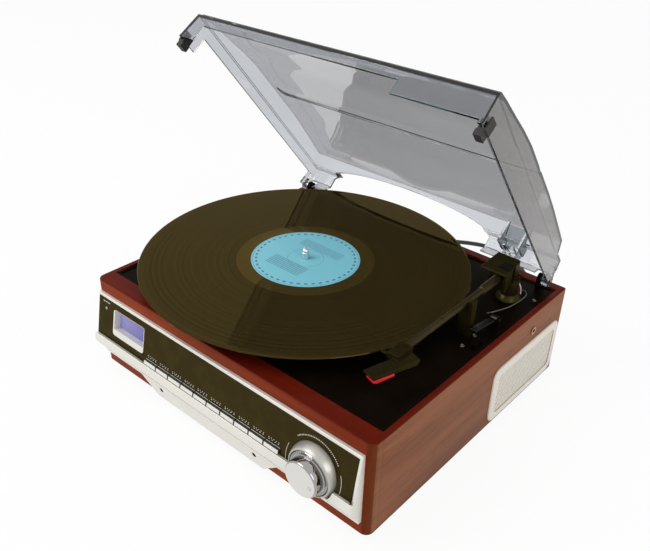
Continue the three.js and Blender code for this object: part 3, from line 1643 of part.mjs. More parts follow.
function makeLid() {
  const shell = cut(lidForm(0), lidForm(lidWall), ...lidCuts());
  const bores = facing(
    "right", disc(lugBore, -lidHalfWidth - overrun, lidHalfWidth + overrun, smallSteps), 0, hingeBack, hingeUp,
  );
  const lid = cut(
    join(shell, lidLug(1), lidLug(-1), lidRib(ribLeft), lidRib(ribRight)),
    bores,
  );
  add("lid", onLid(lid), smokedPlastic, lidGroup);

  const halfBracket = bracketWidth / 2;
  const barrel = facing(
    "right",
    disc(bracketBarrelRadius, hingeX - halfBracket, hingeX + halfBracket, smallSteps),
    0, hingeBack, hingeUp,
  );
  const plateRear = lidRearSkirtTop - lidWall - fit;
  const plate = block(
    hingeX - halfBracket, hingeX + halfBracket,
    plateRear - bracketPlate, plateRear, hingeUp, hingeUp + bracketReach,
  );
  const leaf = block(
    hingeX - halfBracket, hingeX + halfBracket,
    hingeBack - bracketReach, plateRear,
    hingeUp + bracketReach - 3 * bracketPlate, hingeUp + bracketReach - 2 * bracketPlate,
  );
  const slot = block(
    hingeX - bracketSlotWidth / 2, hingeX + bracketSlotWidth / 2,
    hingeBack - bracketReach - overrun, plateRear - 2 * bracketPlate,
    hingeUp + bracketBarrelRadius + bracketPlate, hingeUp + bracketReach + overrun,
  );
  const pinBore = facing(
    "right",
    disc(bracketBore, hingeX - halfBracket - overrun, hingeX + halfBracket + overrun, smallSteps),
    0, hingeBack, hingeUp,
  );
  add("lid_bracket", onLid(cut(join(barrel, plate, leaf), slot, pinBore)), chrome, lidGroup);

  const clip = onLid(bumper());
  add("bumper_right", clip, rubber, lidGroup);
  add("bumper_left", clip.mirror([1, 0, 0]), rubber, lidGroup);
}

// A rubber clip on the lid's right wall near the front: a foot with a lip on each side of the wall.
function bumper() {
  const low = -(lidLift + deckSink) + fit;
  const wallInner = lidHalfWidth - lidWall - lidSideDraft * (bumperInnerRise / lidSkirt) - fit;
  const wallOuter = lidHalfWidth + fit;
  const profile = outline([
    [bumperInner, low],
    [bumperOuter, low],
    [bumperOuter, -bumperLipDrop],
    [wallOuter + bumperLip, -bumperLipDrop + fit],
    [wallOuter + bumperLip, bumperOuterRise],
    [wallOuter, bumperOuterRise],
    [wallOuter, -fit],
    [wallInner, -fit],
    [wallInner, bumperInnerRise],
    [wallInner - bumperLip, bumperInnerRise],
    [wallInner - bumperLip, -bumperLipDrop],
    [bumperInner, -bumperLipDrop],
  ]);
  return alongY(profile, bumperStart, bumperStart + bumperLength);
}

function makeHingeBase() {
  const inner = hingeEarGap / 2;
  const outer = inner + hingeEarThickness;
  const foot = block(
    hingeX - outer, hingeX + outer, hingeY - hingeFootLength / 2 - hingeEarRadius / 2,
    openingRear - 3 * fit, deckTop, deckTop + hingeFootHeight,
  );
  const ears = [-outer, inner].map((offset) => {
    const left = hingeX + offset;
    return join(
      block(
        left, left + hingeEarThickness, hingeY - hingeEarRadius, hingeY + hingeEarRadius,
        deckTop, hingeZ,
      ),
      facing("right", disc(hingeEarRadius, left, left + hingeEarThickness, smallSteps), 0, hingeY, hingeZ),
    );
  });
  const pin = facing(
    "right",
    disc(hingePinRadius, hingeX - outer + fit, hingeX + outer - fit, smallSteps),
    0, hingeY, hingeZ,
  );
  add("hinge_base", join(foot, ...ears, pin), blackPlastic);
}

// Mains lead: strain relief, free stretch, coil and plug

const cordRadius = cordDiameter / 2;
const cordLow = cordRadius + cordClearance;
const reliefTip = cabinetRear + reliefLength;
const reliefZ = woodBottom + reliefHeight;

// Route of the free stretch, from the strain relief to the coil: [x, y, z] in millimetres.
const route = [
  [80, 168.3, 30],
  [80, 181, 29.8],
  [80, 194, 26.5],
  [80, 207, 19],
  [79.5, 220, 10.5],
  [78.5, 233, 4.6],
  [76, 247, 2.6],
  [70, 264, 2.6],
  [59, 281, 2.6],
  [43, 297, 2.6],
  [22, 309, 2.6],
  [0, 314.6, 2.6],
  [-18, 313.2, 2.6],
  [-34, 306.3, 2.6],
  [-50, 296.6, 2.6],
  [-70, 284.6, 2.6],
  [-92, 271.86, 2.6],
  [-111, 261.15, 2.6],
  [-119.54, 256.34, 2.6],
];

// The coil's centre line: three turns in, up a layer, three turns out, and a straight tail.
function coilPath() {
  const turns = 2 * coilLayerTurns + 0.5;
  const climbStart = coilLayerTurns;
  const steps = Math.round(turns * coilSteps);
  const points = [];
  for (let i = 0; i <= steps; i++) {
    const turn = (turns * i) / steps;
    const angle = radians(coilStart) + 2 * Math.PI * turn;
    const inwards = turn < turns / 2 ? turn : turns - turn;
    const radius = coilRadius - coilPitch * inwards;
    const climb = THREE.MathUtils.smoothstep(turn, climbStart, climbStart + 0.5);
    points.push(
      new THREE.Vector3(
        coilX + radius * Math.cos(angle), coilY + radius * Math.sin(angle), cordLow + coilPitch * climb,
      ),
    );
  }
  const last = points[points.length - 1];
  const angle = radians(coilStart) + 2 * Math.PI * turns;
  const way = new THREE.Vector3(-Math.sin(angle), Math.cos(angle), 0);
  const first = points[0];
  const startWay = new THREE.Vector3(-Math.sin(radians(coilStart)), Math.cos(radians(coilStart)), 0);
  points.unshift(first.clone().addScaledVector(startWay, -cordDiameter));
  points.push(last.clone().addScaledVector(way, cordDiameter));
  points.push(last.clone().addScaledVector(way, coilTail));
  return { points, way };
}

// A closed tube with straight-cut ends through a list of points.
function tube(points, radius, sides) {
  const places = [];
  const faces = [];
  const count = points.length;
  const up = new THREE.Vector3(0, 0, 1);
  for (let i = 0; i < count; i++) {
    const before = points[Math.max(i - 1, 0)];
    const after = points[Math.min(i + 1, count - 1)];
    const way = after.clone().sub(before).normalize();
    const across = new THREE.Vector3().crossVectors(way, up).normalize();
    const over = new THREE.Vector3().crossVectors(across, way);
    for (let k = 0; k < sides; k++) {
      const angle = (2 * Math.PI * (k + 0.5)) / sides;
      const spot = points[i].clone()
        .addScaledVector(across, radius * Math.cos(angle))
        .addScaledVector(over, radius * Math.sin(angle));
      places.push(spot.x, spot.y, spot.z);
    }
  }
  for (let i = 0; i + 1 < count; i++)
    for (let k = 0; k < sides; k++) {
      const a = i * sides + k;
      const b = i * sides + ((k + 1) % sides);
      faces.push(a, b, a + sides, b, b + sides, a + sides);
    }
  const last = (count - 1) * sides;
  for (let k = 1; k + 1 < sides; k++) {
    faces.push(0, k + 1, k);
    faces.push(last, last + k, last + k + 1);
  }
  const geometry = new THREE.BufferGeometry();
  geometry.setAttribute("position", new THREE.Float32BufferAttribute(places, 3));
  geometry.setIndex(faces);
  return solid(geometry);
}

// Least distance between the surfaces of a tube's turns, measured on its centre line's points.
function leastGap(points, diameter, nearSteps) {
  let least = Infinity;
  for (let i = 0; i < points.length; i++)
    for (let j = i + nearSteps; j + 1 < points.length; j++) {
      const run = new THREE.Line3(points[j], points[j + 1]);
      const near = run.closestPointToPoint(points[i], true, new THREE.Vector3());
      least = Math.min(least, near.distanceTo(points[i]) - diameter);
    }
  return least;
}

function makeLead() {
  const innerRear = cabinetRear - rearWall;
  const flangeBack = cabinetRear + fit;
  const relief = turned([
    [0, innerRear - reliefTail],
    [reliefNeckRadius, innerRear - reliefTail],
    [reliefNeckRadius, flangeBack],
    [reliefFlangeRadius, flangeBack],
    [reliefFlangeRadius, flangeBack + reliefFlangeThickness],
    [reliefRootRadius, flangeBack + reliefFlangeThickness],
    [reliefTipRadius, reliefTip],
    [0, reliefTip],
  ], smallSteps);
  add("strain_relief", facing("back", relief, reliefX, 0, reliefZ), rubber, lead);

  const { points, way } = coilPath();
  const joint = points[0];
  const knots = route.map(([x, y, z]) => new THREE.Vector3(x, y, z));
  const curve = new THREE.CatmullRomCurve3(knots, false, "centripetal");
  const stretch = curve.getLength();
  const runSteps = Math.round(stretch / cordStep);
  const section = new THREE.Shape();
  section.absarc(0, 0, cordRadius, 0, 2 * Math.PI);
  const stretchTube = new THREE.ExtrudeGeometry(section, {
    steps: runSteps,
    extrudePath: curve,
    curveSegments: cordSides / 2,
    bevelEnabled: false,
  });
  add("cord_lead", solid(stretchTube), rubber, lead);
  add("cord_coil", tube(points, cordRadius, coilSides), rubber, lead);
  let wound = 0;
  for (let i = 0; i + 1 < points.length; i++) wound += points[i].distanceTo(points[i + 1]);
  const gap = leastGap(points, cordDiameter, coilSteps / 2);
  console.log(`lead ${stretch.toFixed(1)} mm, coil ${wound.toFixed(1)} mm, least gap ${gap.toFixed(2)} mm`);
  const meeting = joint.distanceTo(knots[knots.length - 1]);
  console.log(`gap between lead and coil ${meeting.toFixed(2)} mm`);

  makePlug(points[points.length - 1], way);
}

// A flat two-pin plug, lying level at the end of the coil's tail.
function makePlug(end, way) {
  const height = 2 * (end.z - cordClearance);
  const bodyStart = plugNeckLength;
  const neckWide = 2 * plugNeckRadius;
  const face = outline([
    [fit, -plugNeckRadius],
    [bodyStart, -neckWide],
    [bodyStart + neckWide, -plugWidth / 2],
    [plugLength - neckWide, -plugWidth / 2],
    [plugLength, -plugFaceWidth / 2],
    [plugLength, plugFaceWidth / 2],
    [plugLength - neckWide, plugWidth / 2],
    [bodyStart + neckWide, plugWidth / 2],
    [bodyStart, neckWide],
    [fit, plugNeckRadius],
  ]);
  const side = alongY(
    outline([
      [fit, -plugNeckRadius],
      [fit, plugNeckRadius],
      [bodyStart, height / 2],
      [plugLength, height / 2],
      [plugLength, -height / 2],
      [bodyStart, -height / 2],
    ]),
    -plugFaceWidth, plugFaceWidth,
  );
  const pins = [-1, 1].map((sideWay) =>
    facing(
      "right",
      disc(plugPinRadius, plugLength - fit, plugLength + plugPinLength, smallSteps),
      0, (sideWay * plugPinSpacing) / 2, 0,
    ),
  );
  const body = alongZ(face, -height / 2, height / 2).intersect(side);
  const heading = THREE.MathUtils.radToDeg(Math.atan2(way.y, way.x));
  const plug = join(body, ...pins).rotate([0, 0, heading]).translate([end.x, end.y, end.z]);
  add("plug", plug, blackPlastic, lead);
}

makeCabinet();
makeBase();
makeElectronics();
makeDeck();
makeDrive();
makeFascia();
makePanel();
makeDisplay();
makeKeys();
makeDial();
makeSides();
makeTonearm();
makeDeckControls();
makeLid();
makeHingeBase();
makeLead();

// The origin is the bottom centre of the player's box with the lid open, the lead left out.
player.updateMatrixWorld(true);
const playerBox = new THREE.Box3().setFromObject(player, true);
const middle = playerBox.getCenter(new THREE.Vector3());
const part = new THREE.Group();
part.add(player, lead);
player.position.set(-middle.x, -middle.y, 0);
lead.position.set(-middle.x, -middle.y, 0);
console.log(`moved by ${(-middle.x).toFixed(3)}, ${(-middle.y).toFixed(3)}`);

export default part;
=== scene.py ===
"""Retro record player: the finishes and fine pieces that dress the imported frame."""

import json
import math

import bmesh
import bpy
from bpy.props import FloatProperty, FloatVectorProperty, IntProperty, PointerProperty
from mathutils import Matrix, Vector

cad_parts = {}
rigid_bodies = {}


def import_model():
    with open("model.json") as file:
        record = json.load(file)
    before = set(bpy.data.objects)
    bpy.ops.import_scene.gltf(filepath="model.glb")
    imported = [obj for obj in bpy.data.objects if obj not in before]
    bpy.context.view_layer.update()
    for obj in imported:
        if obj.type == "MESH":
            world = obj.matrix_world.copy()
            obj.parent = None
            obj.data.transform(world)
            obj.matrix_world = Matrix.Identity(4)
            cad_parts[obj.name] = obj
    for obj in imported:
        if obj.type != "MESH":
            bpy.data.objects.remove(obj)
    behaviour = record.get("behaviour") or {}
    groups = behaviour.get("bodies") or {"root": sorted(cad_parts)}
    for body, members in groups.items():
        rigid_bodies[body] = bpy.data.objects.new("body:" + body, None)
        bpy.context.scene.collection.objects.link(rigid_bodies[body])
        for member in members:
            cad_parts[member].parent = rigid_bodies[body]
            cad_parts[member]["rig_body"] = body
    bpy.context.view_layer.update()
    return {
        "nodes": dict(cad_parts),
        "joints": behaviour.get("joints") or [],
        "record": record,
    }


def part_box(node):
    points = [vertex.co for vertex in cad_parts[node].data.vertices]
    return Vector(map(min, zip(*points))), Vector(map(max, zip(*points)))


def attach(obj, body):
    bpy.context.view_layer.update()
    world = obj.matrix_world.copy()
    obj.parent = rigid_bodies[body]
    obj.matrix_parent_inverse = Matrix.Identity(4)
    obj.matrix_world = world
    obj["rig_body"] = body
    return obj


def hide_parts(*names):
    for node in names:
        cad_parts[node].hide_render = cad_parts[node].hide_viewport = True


bl_info = {
    "name": "Retro record player",
    "version": (1, 0, 0),
    "blender": (4, 5, 0),
    "location": "3D View > Sidebar > Record Player",
    "description": "Dresses the packed record player in veneer, silver, vinyl and smoked acrylic",
    "category": "Object",
}

for left_over in list(bpy.data.objects):
    bpy.data.objects.remove(left_over)
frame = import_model()
MM = 0.001
TURN = 2 * math.pi
RIGHT = Vector((1, 0, 0))
FRONT = Vector((0, -1, 0))
UP = Vector((0, 0, 1))

# Camera, in the frame's metres
EYE = Vector((0.39532, -0.45217, 0.46874))
EYE_RIGHT = Vector((0.74843, 0.66274, 0.02502))
EYE_UP = Vector((-0.3596, 0.3738, 0.8550))
LENS = 42.97
SENSOR_WIDTH = 36.0

# Round sockets under the keys
SOCKET_MIDDLE = -0.0033
SOCKET_SPACING = 0.118
SOCKET_HEIGHT = 0.0195
SOCKET_BACK = 0.0031  # how far the bottom of each stands before the cabinet

DECK_TOP = 0.094
ROW_SHARE = 0.866  # distance between rows of staggered holes, in pitches
LID_OPEN = math.radians(50.45)
RECORD_EDGE = 0.0045  # from the record's edge to its first band
DEAD_WAX = 0.013  # from the label to the last band
RECORD_BORE = 0.0037

# Mains lead: the free stretch from the strain relief to the coil, laid out from the cabinet's centre
CABINET_CENTRE = Vector((0.0072, 0.010332, 0))
LEAD_POINTS = [
    (0.080, 0.1683, 0.030),
    (0.080, 0.181, 0.0298),
    (0.080, 0.194, 0.0265),
    (0.080, 0.207, 0.019),
    (0.0795, 0.220, 0.0105),
    (0.0785, 0.233, 0.0046),
    (0.076, 0.247, 0.0026),
    (0.070, 0.264, 0.0026),
    (0.059, 0.281, 0.0026),
    (0.043, 0.297, 0.0026),
    (0.022, 0.3088, 0.0026),
    (0.0, 0.3144, 0.0026),
    (-0.018, 0.3130, 0.0026),
    (-0.034, 0.3063, 0.0026),
    (-0.050, 0.2966, 0.0026),
    (-0.070, 0.2846, 0.0026),
    (-0.092, 0.27186, 0.0026),
    (-0.111, 0.26115, 0.0026),
    (-0.11954, 0.25634, 0.0026),
]
COIL_CENTRE = Vector((-0.106, 0.2215, 0.0026))


def shade(red, green, blue):
    """The linear colour of a display colour written from 0 to 255."""

    def straight(part):
        part /= 255
        return part / 12.92 if part <= 0.04045 else ((part + 0.055) / 1.055) ** 2.4

    return tuple(straight(part) for part in (red, green, blue))


def dimmed(colour_value, share):
    return tuple(part * share for part in colour_value)


def low(node):
    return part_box(node)[0]


def high(node):
    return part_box(node)[1]


def middle(node):
    return (low(node) + high(node)) / 2


def half_width(node):
    return (high(node).x - low(node).x) / 2


def axis_of(node):
    """Where a node's upright axis meets the floor."""
    return middle(node) * Vector((1, 1, 0))


def joint(name):
    return next(row for row in frame["joints"] if row["name"] == name)


# Node trees


def maths(operation, swapped=False):
    """A method that adds a Math node for an operation on a signal and another number."""

    def method(self, other=0.0):
        first, second = (other, self) if swapped else (self, other)
        return self.work.node("ShaderNodeMath", {"operation": operation}, {0: first, 1: second})

    return method


class Signal:
    """One number socket; arithmetic on it adds Math nodes to its tree."""

    def __init__(self, work, socket):
        self.work = work
        self.socket = socket

    def also(self, output):
        return Signal(self.work, self.socket.node.outputs[output])

    __add__ = __radd__ = maths("ADD")
    __sub__ = maths("SUBTRACT")
    __rsub__ = maths("SUBTRACT", swapped=True)
    __mul__ = __rmul__ = maths("MULTIPLY")
    __truediv__ = maths("DIVIDE")
    __pow__ = maths("POWER")
    __mod__ = maths("FLOORED_MODULO")
    __gt__ = maths("GREATER_THAN")
    __lt__ = maths("LESS_THAN")
    __abs__ = maths("ABSOLUTE")
    larger = maths("MAXIMUM")
    smaller = maths("MINIMUM")
    sine = maths("SINE")
    cosine = maths("COSINE")
    rounded = maths("ROUND")

    def ramped(self, start, end, bottom=0.0, top=1.0):
        """From bottom to top, smoothly, as the number goes from start to end."""
        settings = {"interpolation_type": "SMOOTHSTEP"}
        values = {0: self, 1: start, 2: end, 3: bottom, 4: top}
        return self.work.node("ShaderNodeMapRange", settings, values)


class Work:
    """A node tree whose nodes are all made by one method."""

    def __init__(self, tree):
        self.tree = tree

    def node(self, kind, settings=None, values=None, output=0):
        made = self.tree.nodes.new(kind)
        for key, value in (settings or {}).items():
            if key == "stops":
                self.set_stops(made.color_ramp, value)
            else:
                setattr(made, key, value)
        for key, value in (values or {}).items():
            socket = made.inputs[key]
            if isinstance(value, Signal):
                self.tree.links.new(value.socket, socket)
            else:
                socket.default_value = value
        return Signal(self, made.outputs[output]) if made.outputs else None

    @staticmethod
    def set_stops(ramp, stops):
        while len(ramp.elements) < len(stops):
            ramp.elements.new(1.0)
        for element, (place, colour_value) in zip(ramp.elements, stops):
            element.position = place
            element.color = (*colour_value, 1)

    def is_seen(self):
        """One for camera, mirrored and refracted rays, which see the plain white."""
        rays = self.node("ShaderNodeLightPath", output="Is Camera Ray")
        return rays.larger(rays.also("Is Glossy Ray")).larger(rays.also("Is Transmission Ray"))


class Finish(Work):
    """One surface material."""

    def __init__(self, name):
        self.material = bpy.data.materials.new(name)
        self.material.use_nodes = True
        super().__init__(self.material.node_tree)
        self.tree.nodes.clear()

    def place(self):
        return self.node("ShaderNodeTexCoord", output="Object")

    def facing(self):
        return self.node("ShaderNodeTexCoord", output="Normal")

    def parts(self, vector):
        split = self.node("ShaderNodeSeparateXYZ", {}, {0: vector})
        return split, split.also(1), split.also(2)

    def joined(self, across, along, upward):
        return self.node("ShaderNodeCombineXYZ", {}, {0: across, 1: along, 2: upward})

    def stretched(self, scale, turn=(0, 0, 0)):
        values = {"Vector": self.place(), "Rotation": turn, "Scale": scale}
        return self.node("ShaderNodeMapping", {}, values)

    def centred(self, centre):
        """The three object coordinates measured from a centre."""
        values = {0: self.place(), 1: tuple(centre)}
        return self.parts(self.node("ShaderNodeVectorMath", {"operation": "SUBTRACT"}, values))

    def along(self, vector, way):
        """How far a vector reaches along a direction."""
        values = {0: vector, 1: way}
        return self.node("ShaderNodeVectorMath", {"operation": "DOT_PRODUCT"}, values, "Value")

    def noise(self, vector, scale, detail=3.0, roughness=0.55, distortion=0.0):
        values = {"Vector": vector, "Scale": scale, "Detail": detail}
        values.update({"Roughness": roughness, "Distortion": distortion})
        return self.node("ShaderNodeTexNoise", {}, values)

    def ramp(self, signal, *stops):
        return self.node("ShaderNodeValToRGB", {"stops": stops}, {0: signal})

    def blend(self, share, first, second, kind="MIX"):
        settings = {"data_type": "RGBA", "blend_type": kind}
        first, second = (
            value if isinstance(value, Signal) else (*value, 1) for value in (first, second)
        )
        return self.node("ShaderNodeMix", settings, {0: share, 6: first, 7: second}, 2)

    def bump(self, height, strength, distance):
        values = {"Height": height, "Strength": strength, "Distance": distance}
        return self.node("ShaderNodeBump", {}, values)

    def surface(self, base, roughness, normal, **constants):
        """The Principled surface; a constant's name has its spaces written as underscores."""
        values = {"Base Color": base, "Roughness": roughness, "Normal": normal}
        for key, value in constants.items():
            values[key.replace("_", " ")] = value
        shader = self.node("ShaderNodeBsdfPrincipled", {}, values)
        self.node("ShaderNodeOutputMaterial", {}, {"Surface": shader})
        return self.material


class Growth(Work):
    """One geometry node tree with named sizes, grown on a host into a plain mesh."""

    KINDS = {float: "NodeSocketFloat", int: "NodeSocketInt", tuple: "NodeSocketVector"}

    def __init__(self, name, **sizes):
        super().__init__(bpy.data.node_groups.new(name, "GeometryNodeTree"))
        face = self.tree.interface
        face.new_socket("Geometry", in_out="INPUT", socket_type="NodeSocketGeometry")
        face.new_socket("Geometry", in_out="OUTPUT", socket_type="NodeSocketGeometry")
        for label, kind in sizes.items():
            kind_name = self.KINDS.get(kind, "NodeSocketObject")
            face.new_socket(label, in_out="INPUT", socket_type=kind_name)
        self.entry = self.tree.nodes.new("NodeGroupInput")

    def size(self, label):
        return Signal(self, self.entry.outputs[label])

    def host(self):
        return Signal(self, self.entry.outputs[0])

    def both(self, *parts):
        """Several geometries as one."""
        join = self.tree.nodes.new("GeometryNodeJoinGeometry")
        for part in parts:
            self.tree.links.new(part.socket, join.inputs[0])
        return Signal(self, join.outputs[0])

    def close(self, geometry):
        """Ends the tree in real faces with a material."""
        real = self.node("GeometryNodeRealizeInstances", {}, {0: geometry})
        coated = self.node("GeometryNodeSetMaterial", {}, {0: real})
        self.painter = coated.socket.node
        self.node("NodeGroupOutput", {}, {0: coated})
        return self

    def grow(self, data, material, **sizes):
        """A plain mesh grown on the given mesh or curve."""
        self.painter.inputs["Material"].default_value = material
        host = bpy.data.objects.new(self.tree.name, data)
        bpy.context.scene.collection.objects.link(host)
        live = host.modifiers.new("Growth", "NODES")
        live.node_group = self.tree
        for item in self.tree.interface.items_tree:
            if item.in_out == "INPUT" and item.name in sizes:
                live[item.identifier] = sizes[item.name]
        graph = bpy.context.evaluated_depsgraph_get()
        mesh = bpy.data.meshes.new_from_object(host.evaluated_get(graph))
        host.modifiers.remove(live)
        bpy.data.objects.remove(host)
        return mesh


def points_mesh(points=()):
    mesh = bpy.data.meshes.new("points")
    mesh.from_pydata([tuple(point) for point in points], [], [])
    return mesh


def path_curve(points, closed=False):
    curve = bpy.data.curves.new("path", "CURVE")
    curve.dimensions = "3D"
    spline = curve.splines.new("POLY")
    spline.points.add(len(points) - 1)
    for place, point in zip(spline.points, points):
        place.co = (*point, 1)
    spline.use_cyclic_u = closed
    return curve


def row_growth():
    """Blocks in a straight row."""
    work = Growth("block_row", Count=int, Step=tuple, Block=tuple)
    values = {"Count": work.size("Count"), "Offset": work.size("Step")}
    line = work.node("GeometryNodeMeshLine", {}, values)
    block = work.node("GeometryNodeMeshCube", {}, {"Size": work.size("Block")})
    return work.close(work.node("GeometryNodeInstanceOnPoints", {}, {"Points": line, "Instance": block}))


def arc_growth():
    """Blocks on an arc round the local Z axis, each turned to face the centre."""
    work = Growth("block_arc", Count=int, Radius=float, Start=float, Step=float, Block=tuple)
    spots = work.node("GeometryNodePoints", {}, {"Count": work.size("Count")})
    index = work.node("GeometryNodeInputIndex")
    angle = work.size("Start") + index * work.size("Step")
    across = angle.cosine() * work.size("Radius")
    along = angle.sine() * work.size("Radius")
    place = work.node("ShaderNodeCombineXYZ", {}, {0: across, 1: along})
    placed = work.node("GeometryNodeSetPosition", {}, {"Geometry": spots, "Position": place})
    turn = work.node("FunctionNodeAlignRotationToVector", {"axis": "X"}, {"Vector": place})
    block = work.node("GeometryNodeMeshCube", {}, {"Size": work.size("Block")})
    values = {"Points": placed, "Instance": block, "Rotation": turn}
    return work.close(work.node("GeometryNodeInstanceOnPoints", {}, values))


def tube_growth():
    """A round wire along the host curve, with closed ends."""
    work = Growth("round_wire", Radius=float, Sides=int)
    values = {"Radius": work.size("Radius"), "Resolution": work.size("Sides")}
    ring = work.node("GeometryNodeCurvePrimitiveCircle", {}, values)
    values = {"Curve": work.host(), "Profile Curve": ring, "Fill Caps": True}
    return work.close(work.node("GeometryNodeCurveToMesh", {}, values))


def scatter_growth():
    """The named part at every point of the host."""
    work = Growth("parts_on_points", Part=object)
    part = work.node("GeometryNodeObjectInfo", {}, {"Object": work.size("Part")}, "Geometry")
    values = {"Points": work.host(), "Instance": part}
    return work.close(work.node("GeometryNodeInstanceOnPoints", {}, values))


def perforated_growth():
    """A plate in the host's closed outline with staggered round holes through it."""
    sizes = {"Pitch": float, "Columns": int, "Rows": int, "Hole": float, "Thickness": float}
    work = Growth("perforated_plate", **sizes)
    pitch, row_step = work.size("Pitch"), work.size("Pitch") * ROW_SHARE
    grid = work.node("GeometryNodeMeshGrid", {}, {
        "Size X": pitch * (work.size("Columns") - 1),
        "Size Y": row_step * (work.size("Rows") - 1),
        "Vertices X": work.size("Columns"),
        "Vertices Y": work.size("Rows"),
    })
    spot = work.node("GeometryNodeInputPosition")
    along = work.node("ShaderNodeSeparateXYZ", {}, {0: spot}, 1)
    row = (along / row_step + 0.01).rounded()
    shift = (row % 2.0 - 0.5) * pitch * 0.5
    offset = work.node("ShaderNodeCombineXYZ", {}, {0: shift})
    staggered = work.node("GeometryNodeSetPosition", {}, {"Geometry": grid, "Offset": offset})
    values = {"Radius": work.size("Hole"), "Resolution": 8}
    ring = work.node("GeometryNodeCurvePrimitiveCircle", {}, values)
    holes = work.node("GeometryNodeInstanceOnPoints", {}, {"Points": staggered, "Instance": ring})
    real = work.node("GeometryNodeRealizeInstances", {}, {0: holes})
    sheet = work.node("GeometryNodeFillCurve", {}, {0: work.both(real, work.host())})
    depth = work.node("ShaderNodeCombineXYZ", {}, {2: work.size("Thickness")})
    values = {"Mesh": sheet, "Offset": depth, "Offset Scale": 1.0, "Individual": False}
    raised = work.node("GeometryNodeExtrudeMesh", {}, values)
    back = work.node("GeometryNodeFlipFaces", {}, {0: sheet})
    values = {"Geometry": work.both(raised, back), "Distance": 1e-6}
    return work.close(work.node("GeometryNodeMergeByDistance", {}, values))


# Meshes and pieces


def smoothed(mesh, angle=32):
    mesh.polygons.foreach_set("use_smooth", [True] * len(mesh.polygons))
    mesh.set_sharp_from_angle(angle=math.radians(angle))
    return mesh


def evaluated(mesh, kind, **settings):
    """A plain mesh with one modifier worked in."""
    holder = bpy.data.objects.new("holder", mesh)
    bpy.context.scene.collection.objects.link(holder)
    modifier = holder.modifiers.new(kind, kind)
    for key, value in settings.items():
        setattr(modifier, key, value)
    graph = bpy.context.evaluated_depsgraph_get()
    result = bpy.data.meshes.new_from_object(holder.evaluated_get(graph))
    bpy.data.objects.remove(holder)
    return result


def refined(node, bevel, segments=2, angle=30, smooth=40):
    """A merged copy of a node's mesh with its edges rounded; bevel in millimetres."""
    mesh = frame["nodes"][node].data.copy()
    work = bmesh.new()
    work.from_mesh(mesh)
    same_spot, flat = 2e-6, math.radians(0.4)
    bmesh.ops.remove_doubles(work, verts=work.verts, dist=same_spot)
    bmesh.ops.dissolve_degenerate(work, edges=work.edges, dist=same_spot)
    bmesh.ops.dissolve_limit(work, angle_limit=flat, verts=work.verts, edges=work.edges)
    bmesh.ops.recalc_face_normals(work, faces=work.faces)
    work.to_mesh(mesh)
    work.free()
    mesh = evaluated(
        mesh, "BEVEL", width=bevel * MM, segments=segments, limit_method="ANGLE",
        angle_limit=math.radians(angle), use_clamp_overlap=False, profile=0.6,
    )
    smoothed(mesh, smooth)
    return evaluated(mesh, "WEIGHTED_NORMAL", mode="FACE_AREA", weight=100, keep_sharp=True)


def piece(name, mesh, material, body, slot, *stands_for):
    """An object at the origin that rides on a body in place of its nodes."""
    made = bpy.data.objects.new(name, mesh)
    bpy.context.scene.collection.objects.link(made)
    mesh.name = name
    mesh.materials.clear()
    mesh.materials.append(material)
    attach(made, body)
    if stands_for:
        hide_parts(*stands_for)
    return made


def dressed(node, material, bevel=0.3, segments=2, angle=30, smooth=40):
    """The refined copy of a node, standing for it."""
    rows = frame["record"]["subparts"]
    slot = next(row["material_slot"] for row in rows if row["node"] == node)
    body = frame["nodes"][node]["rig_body"]
    piece(node + "_piece", refined(node, bevel, segments, angle, smooth), material, body, slot, node)


def painted(node, material):
    """A node that keeps its own shape and gets a finish."""
    data = frame["nodes"][node].data
    data.materials.clear()
    data.materials.append(material)


def filleted(points, radius, steps=6):
    """A closed outline with each corner rounded by up to radius."""
    done = []
    for i, corner in enumerate(points):
        corner = Vector(corner)
        before = Vector(points[i - 1]) - corner
        after = Vector(points[(i + 1) % len(points)]) - corner
        reach = min(radius, before.length * 0.45, after.length * 0.45)
        start = corner + before.normalized() * reach
        end = corner + after.normalized() * reach
        for k in range(steps + 1):
            t = k / steps
            done.append(start * (1 - t) ** 2 + corner * 2 * t * (1 - t) + end * t ** 2)
    return done


def rounded_box(width, height, radius, steps=6):
    x, y = width / 2, height / 2
    return filleted([(-x, -y), (x, -y), (x, y), (-x, y)], radius, steps)


def shrunk(outline, inset):
    """An outline drawn in towards its centre by about an inset."""
    return [
        Vector((p[0] - math.copysign(inset, p[0]), p[1] - math.copysign(inset, p[1])))
        for p in outline
    ]


def mesh_of(work, place, angle=32):
    """The smoothed mesh of a bmesh, its normals outward, put in place by a matrix."""
    bmesh.ops.recalc_face_normals(work, faces=work.faces)
    work.transform(place)
    mesh = bpy.data.meshes.new("shape")
    work.to_mesh(mesh)
    work.free()
    return smoothed(mesh, angle)


def bridge(work, ring, following):
    """Faces between two rings of as many corners."""
    size = len(ring)
    for k in range(size):
        work.faces.new((ring[k], ring[(k + 1) % size], following[(k + 1) % size], following[k]))


def turned(profile, centre, axis=UP, steps=96):
    """A closed profile of (radius, height) pairs turned about an axis through a centre."""
    work = bmesh.new()
    rows = []
    for step in range(steps):
        angle = TURN * step / steps
        way = Vector((math.cos(angle), math.sin(angle), 0))
        rows.append([work.verts.new(way * radius + UP * height) for radius, height in profile])
    for row, following in zip(rows, rows[1:] + rows[:1]):
        bridge(work, row, following)
    bmesh.ops.remove_doubles(work, verts=work.verts, dist=1e-7)
    turn = Vector(axis).to_track_quat("Z", "Y").to_matrix().to_4x4()
    return mesh_of(work, Matrix.Translation(Vector(centre)) @ turn)


def layers(work, levels):
    return [[work.verts.new((p[0], p[1], height)) for p in shape] for shape, height in levels]


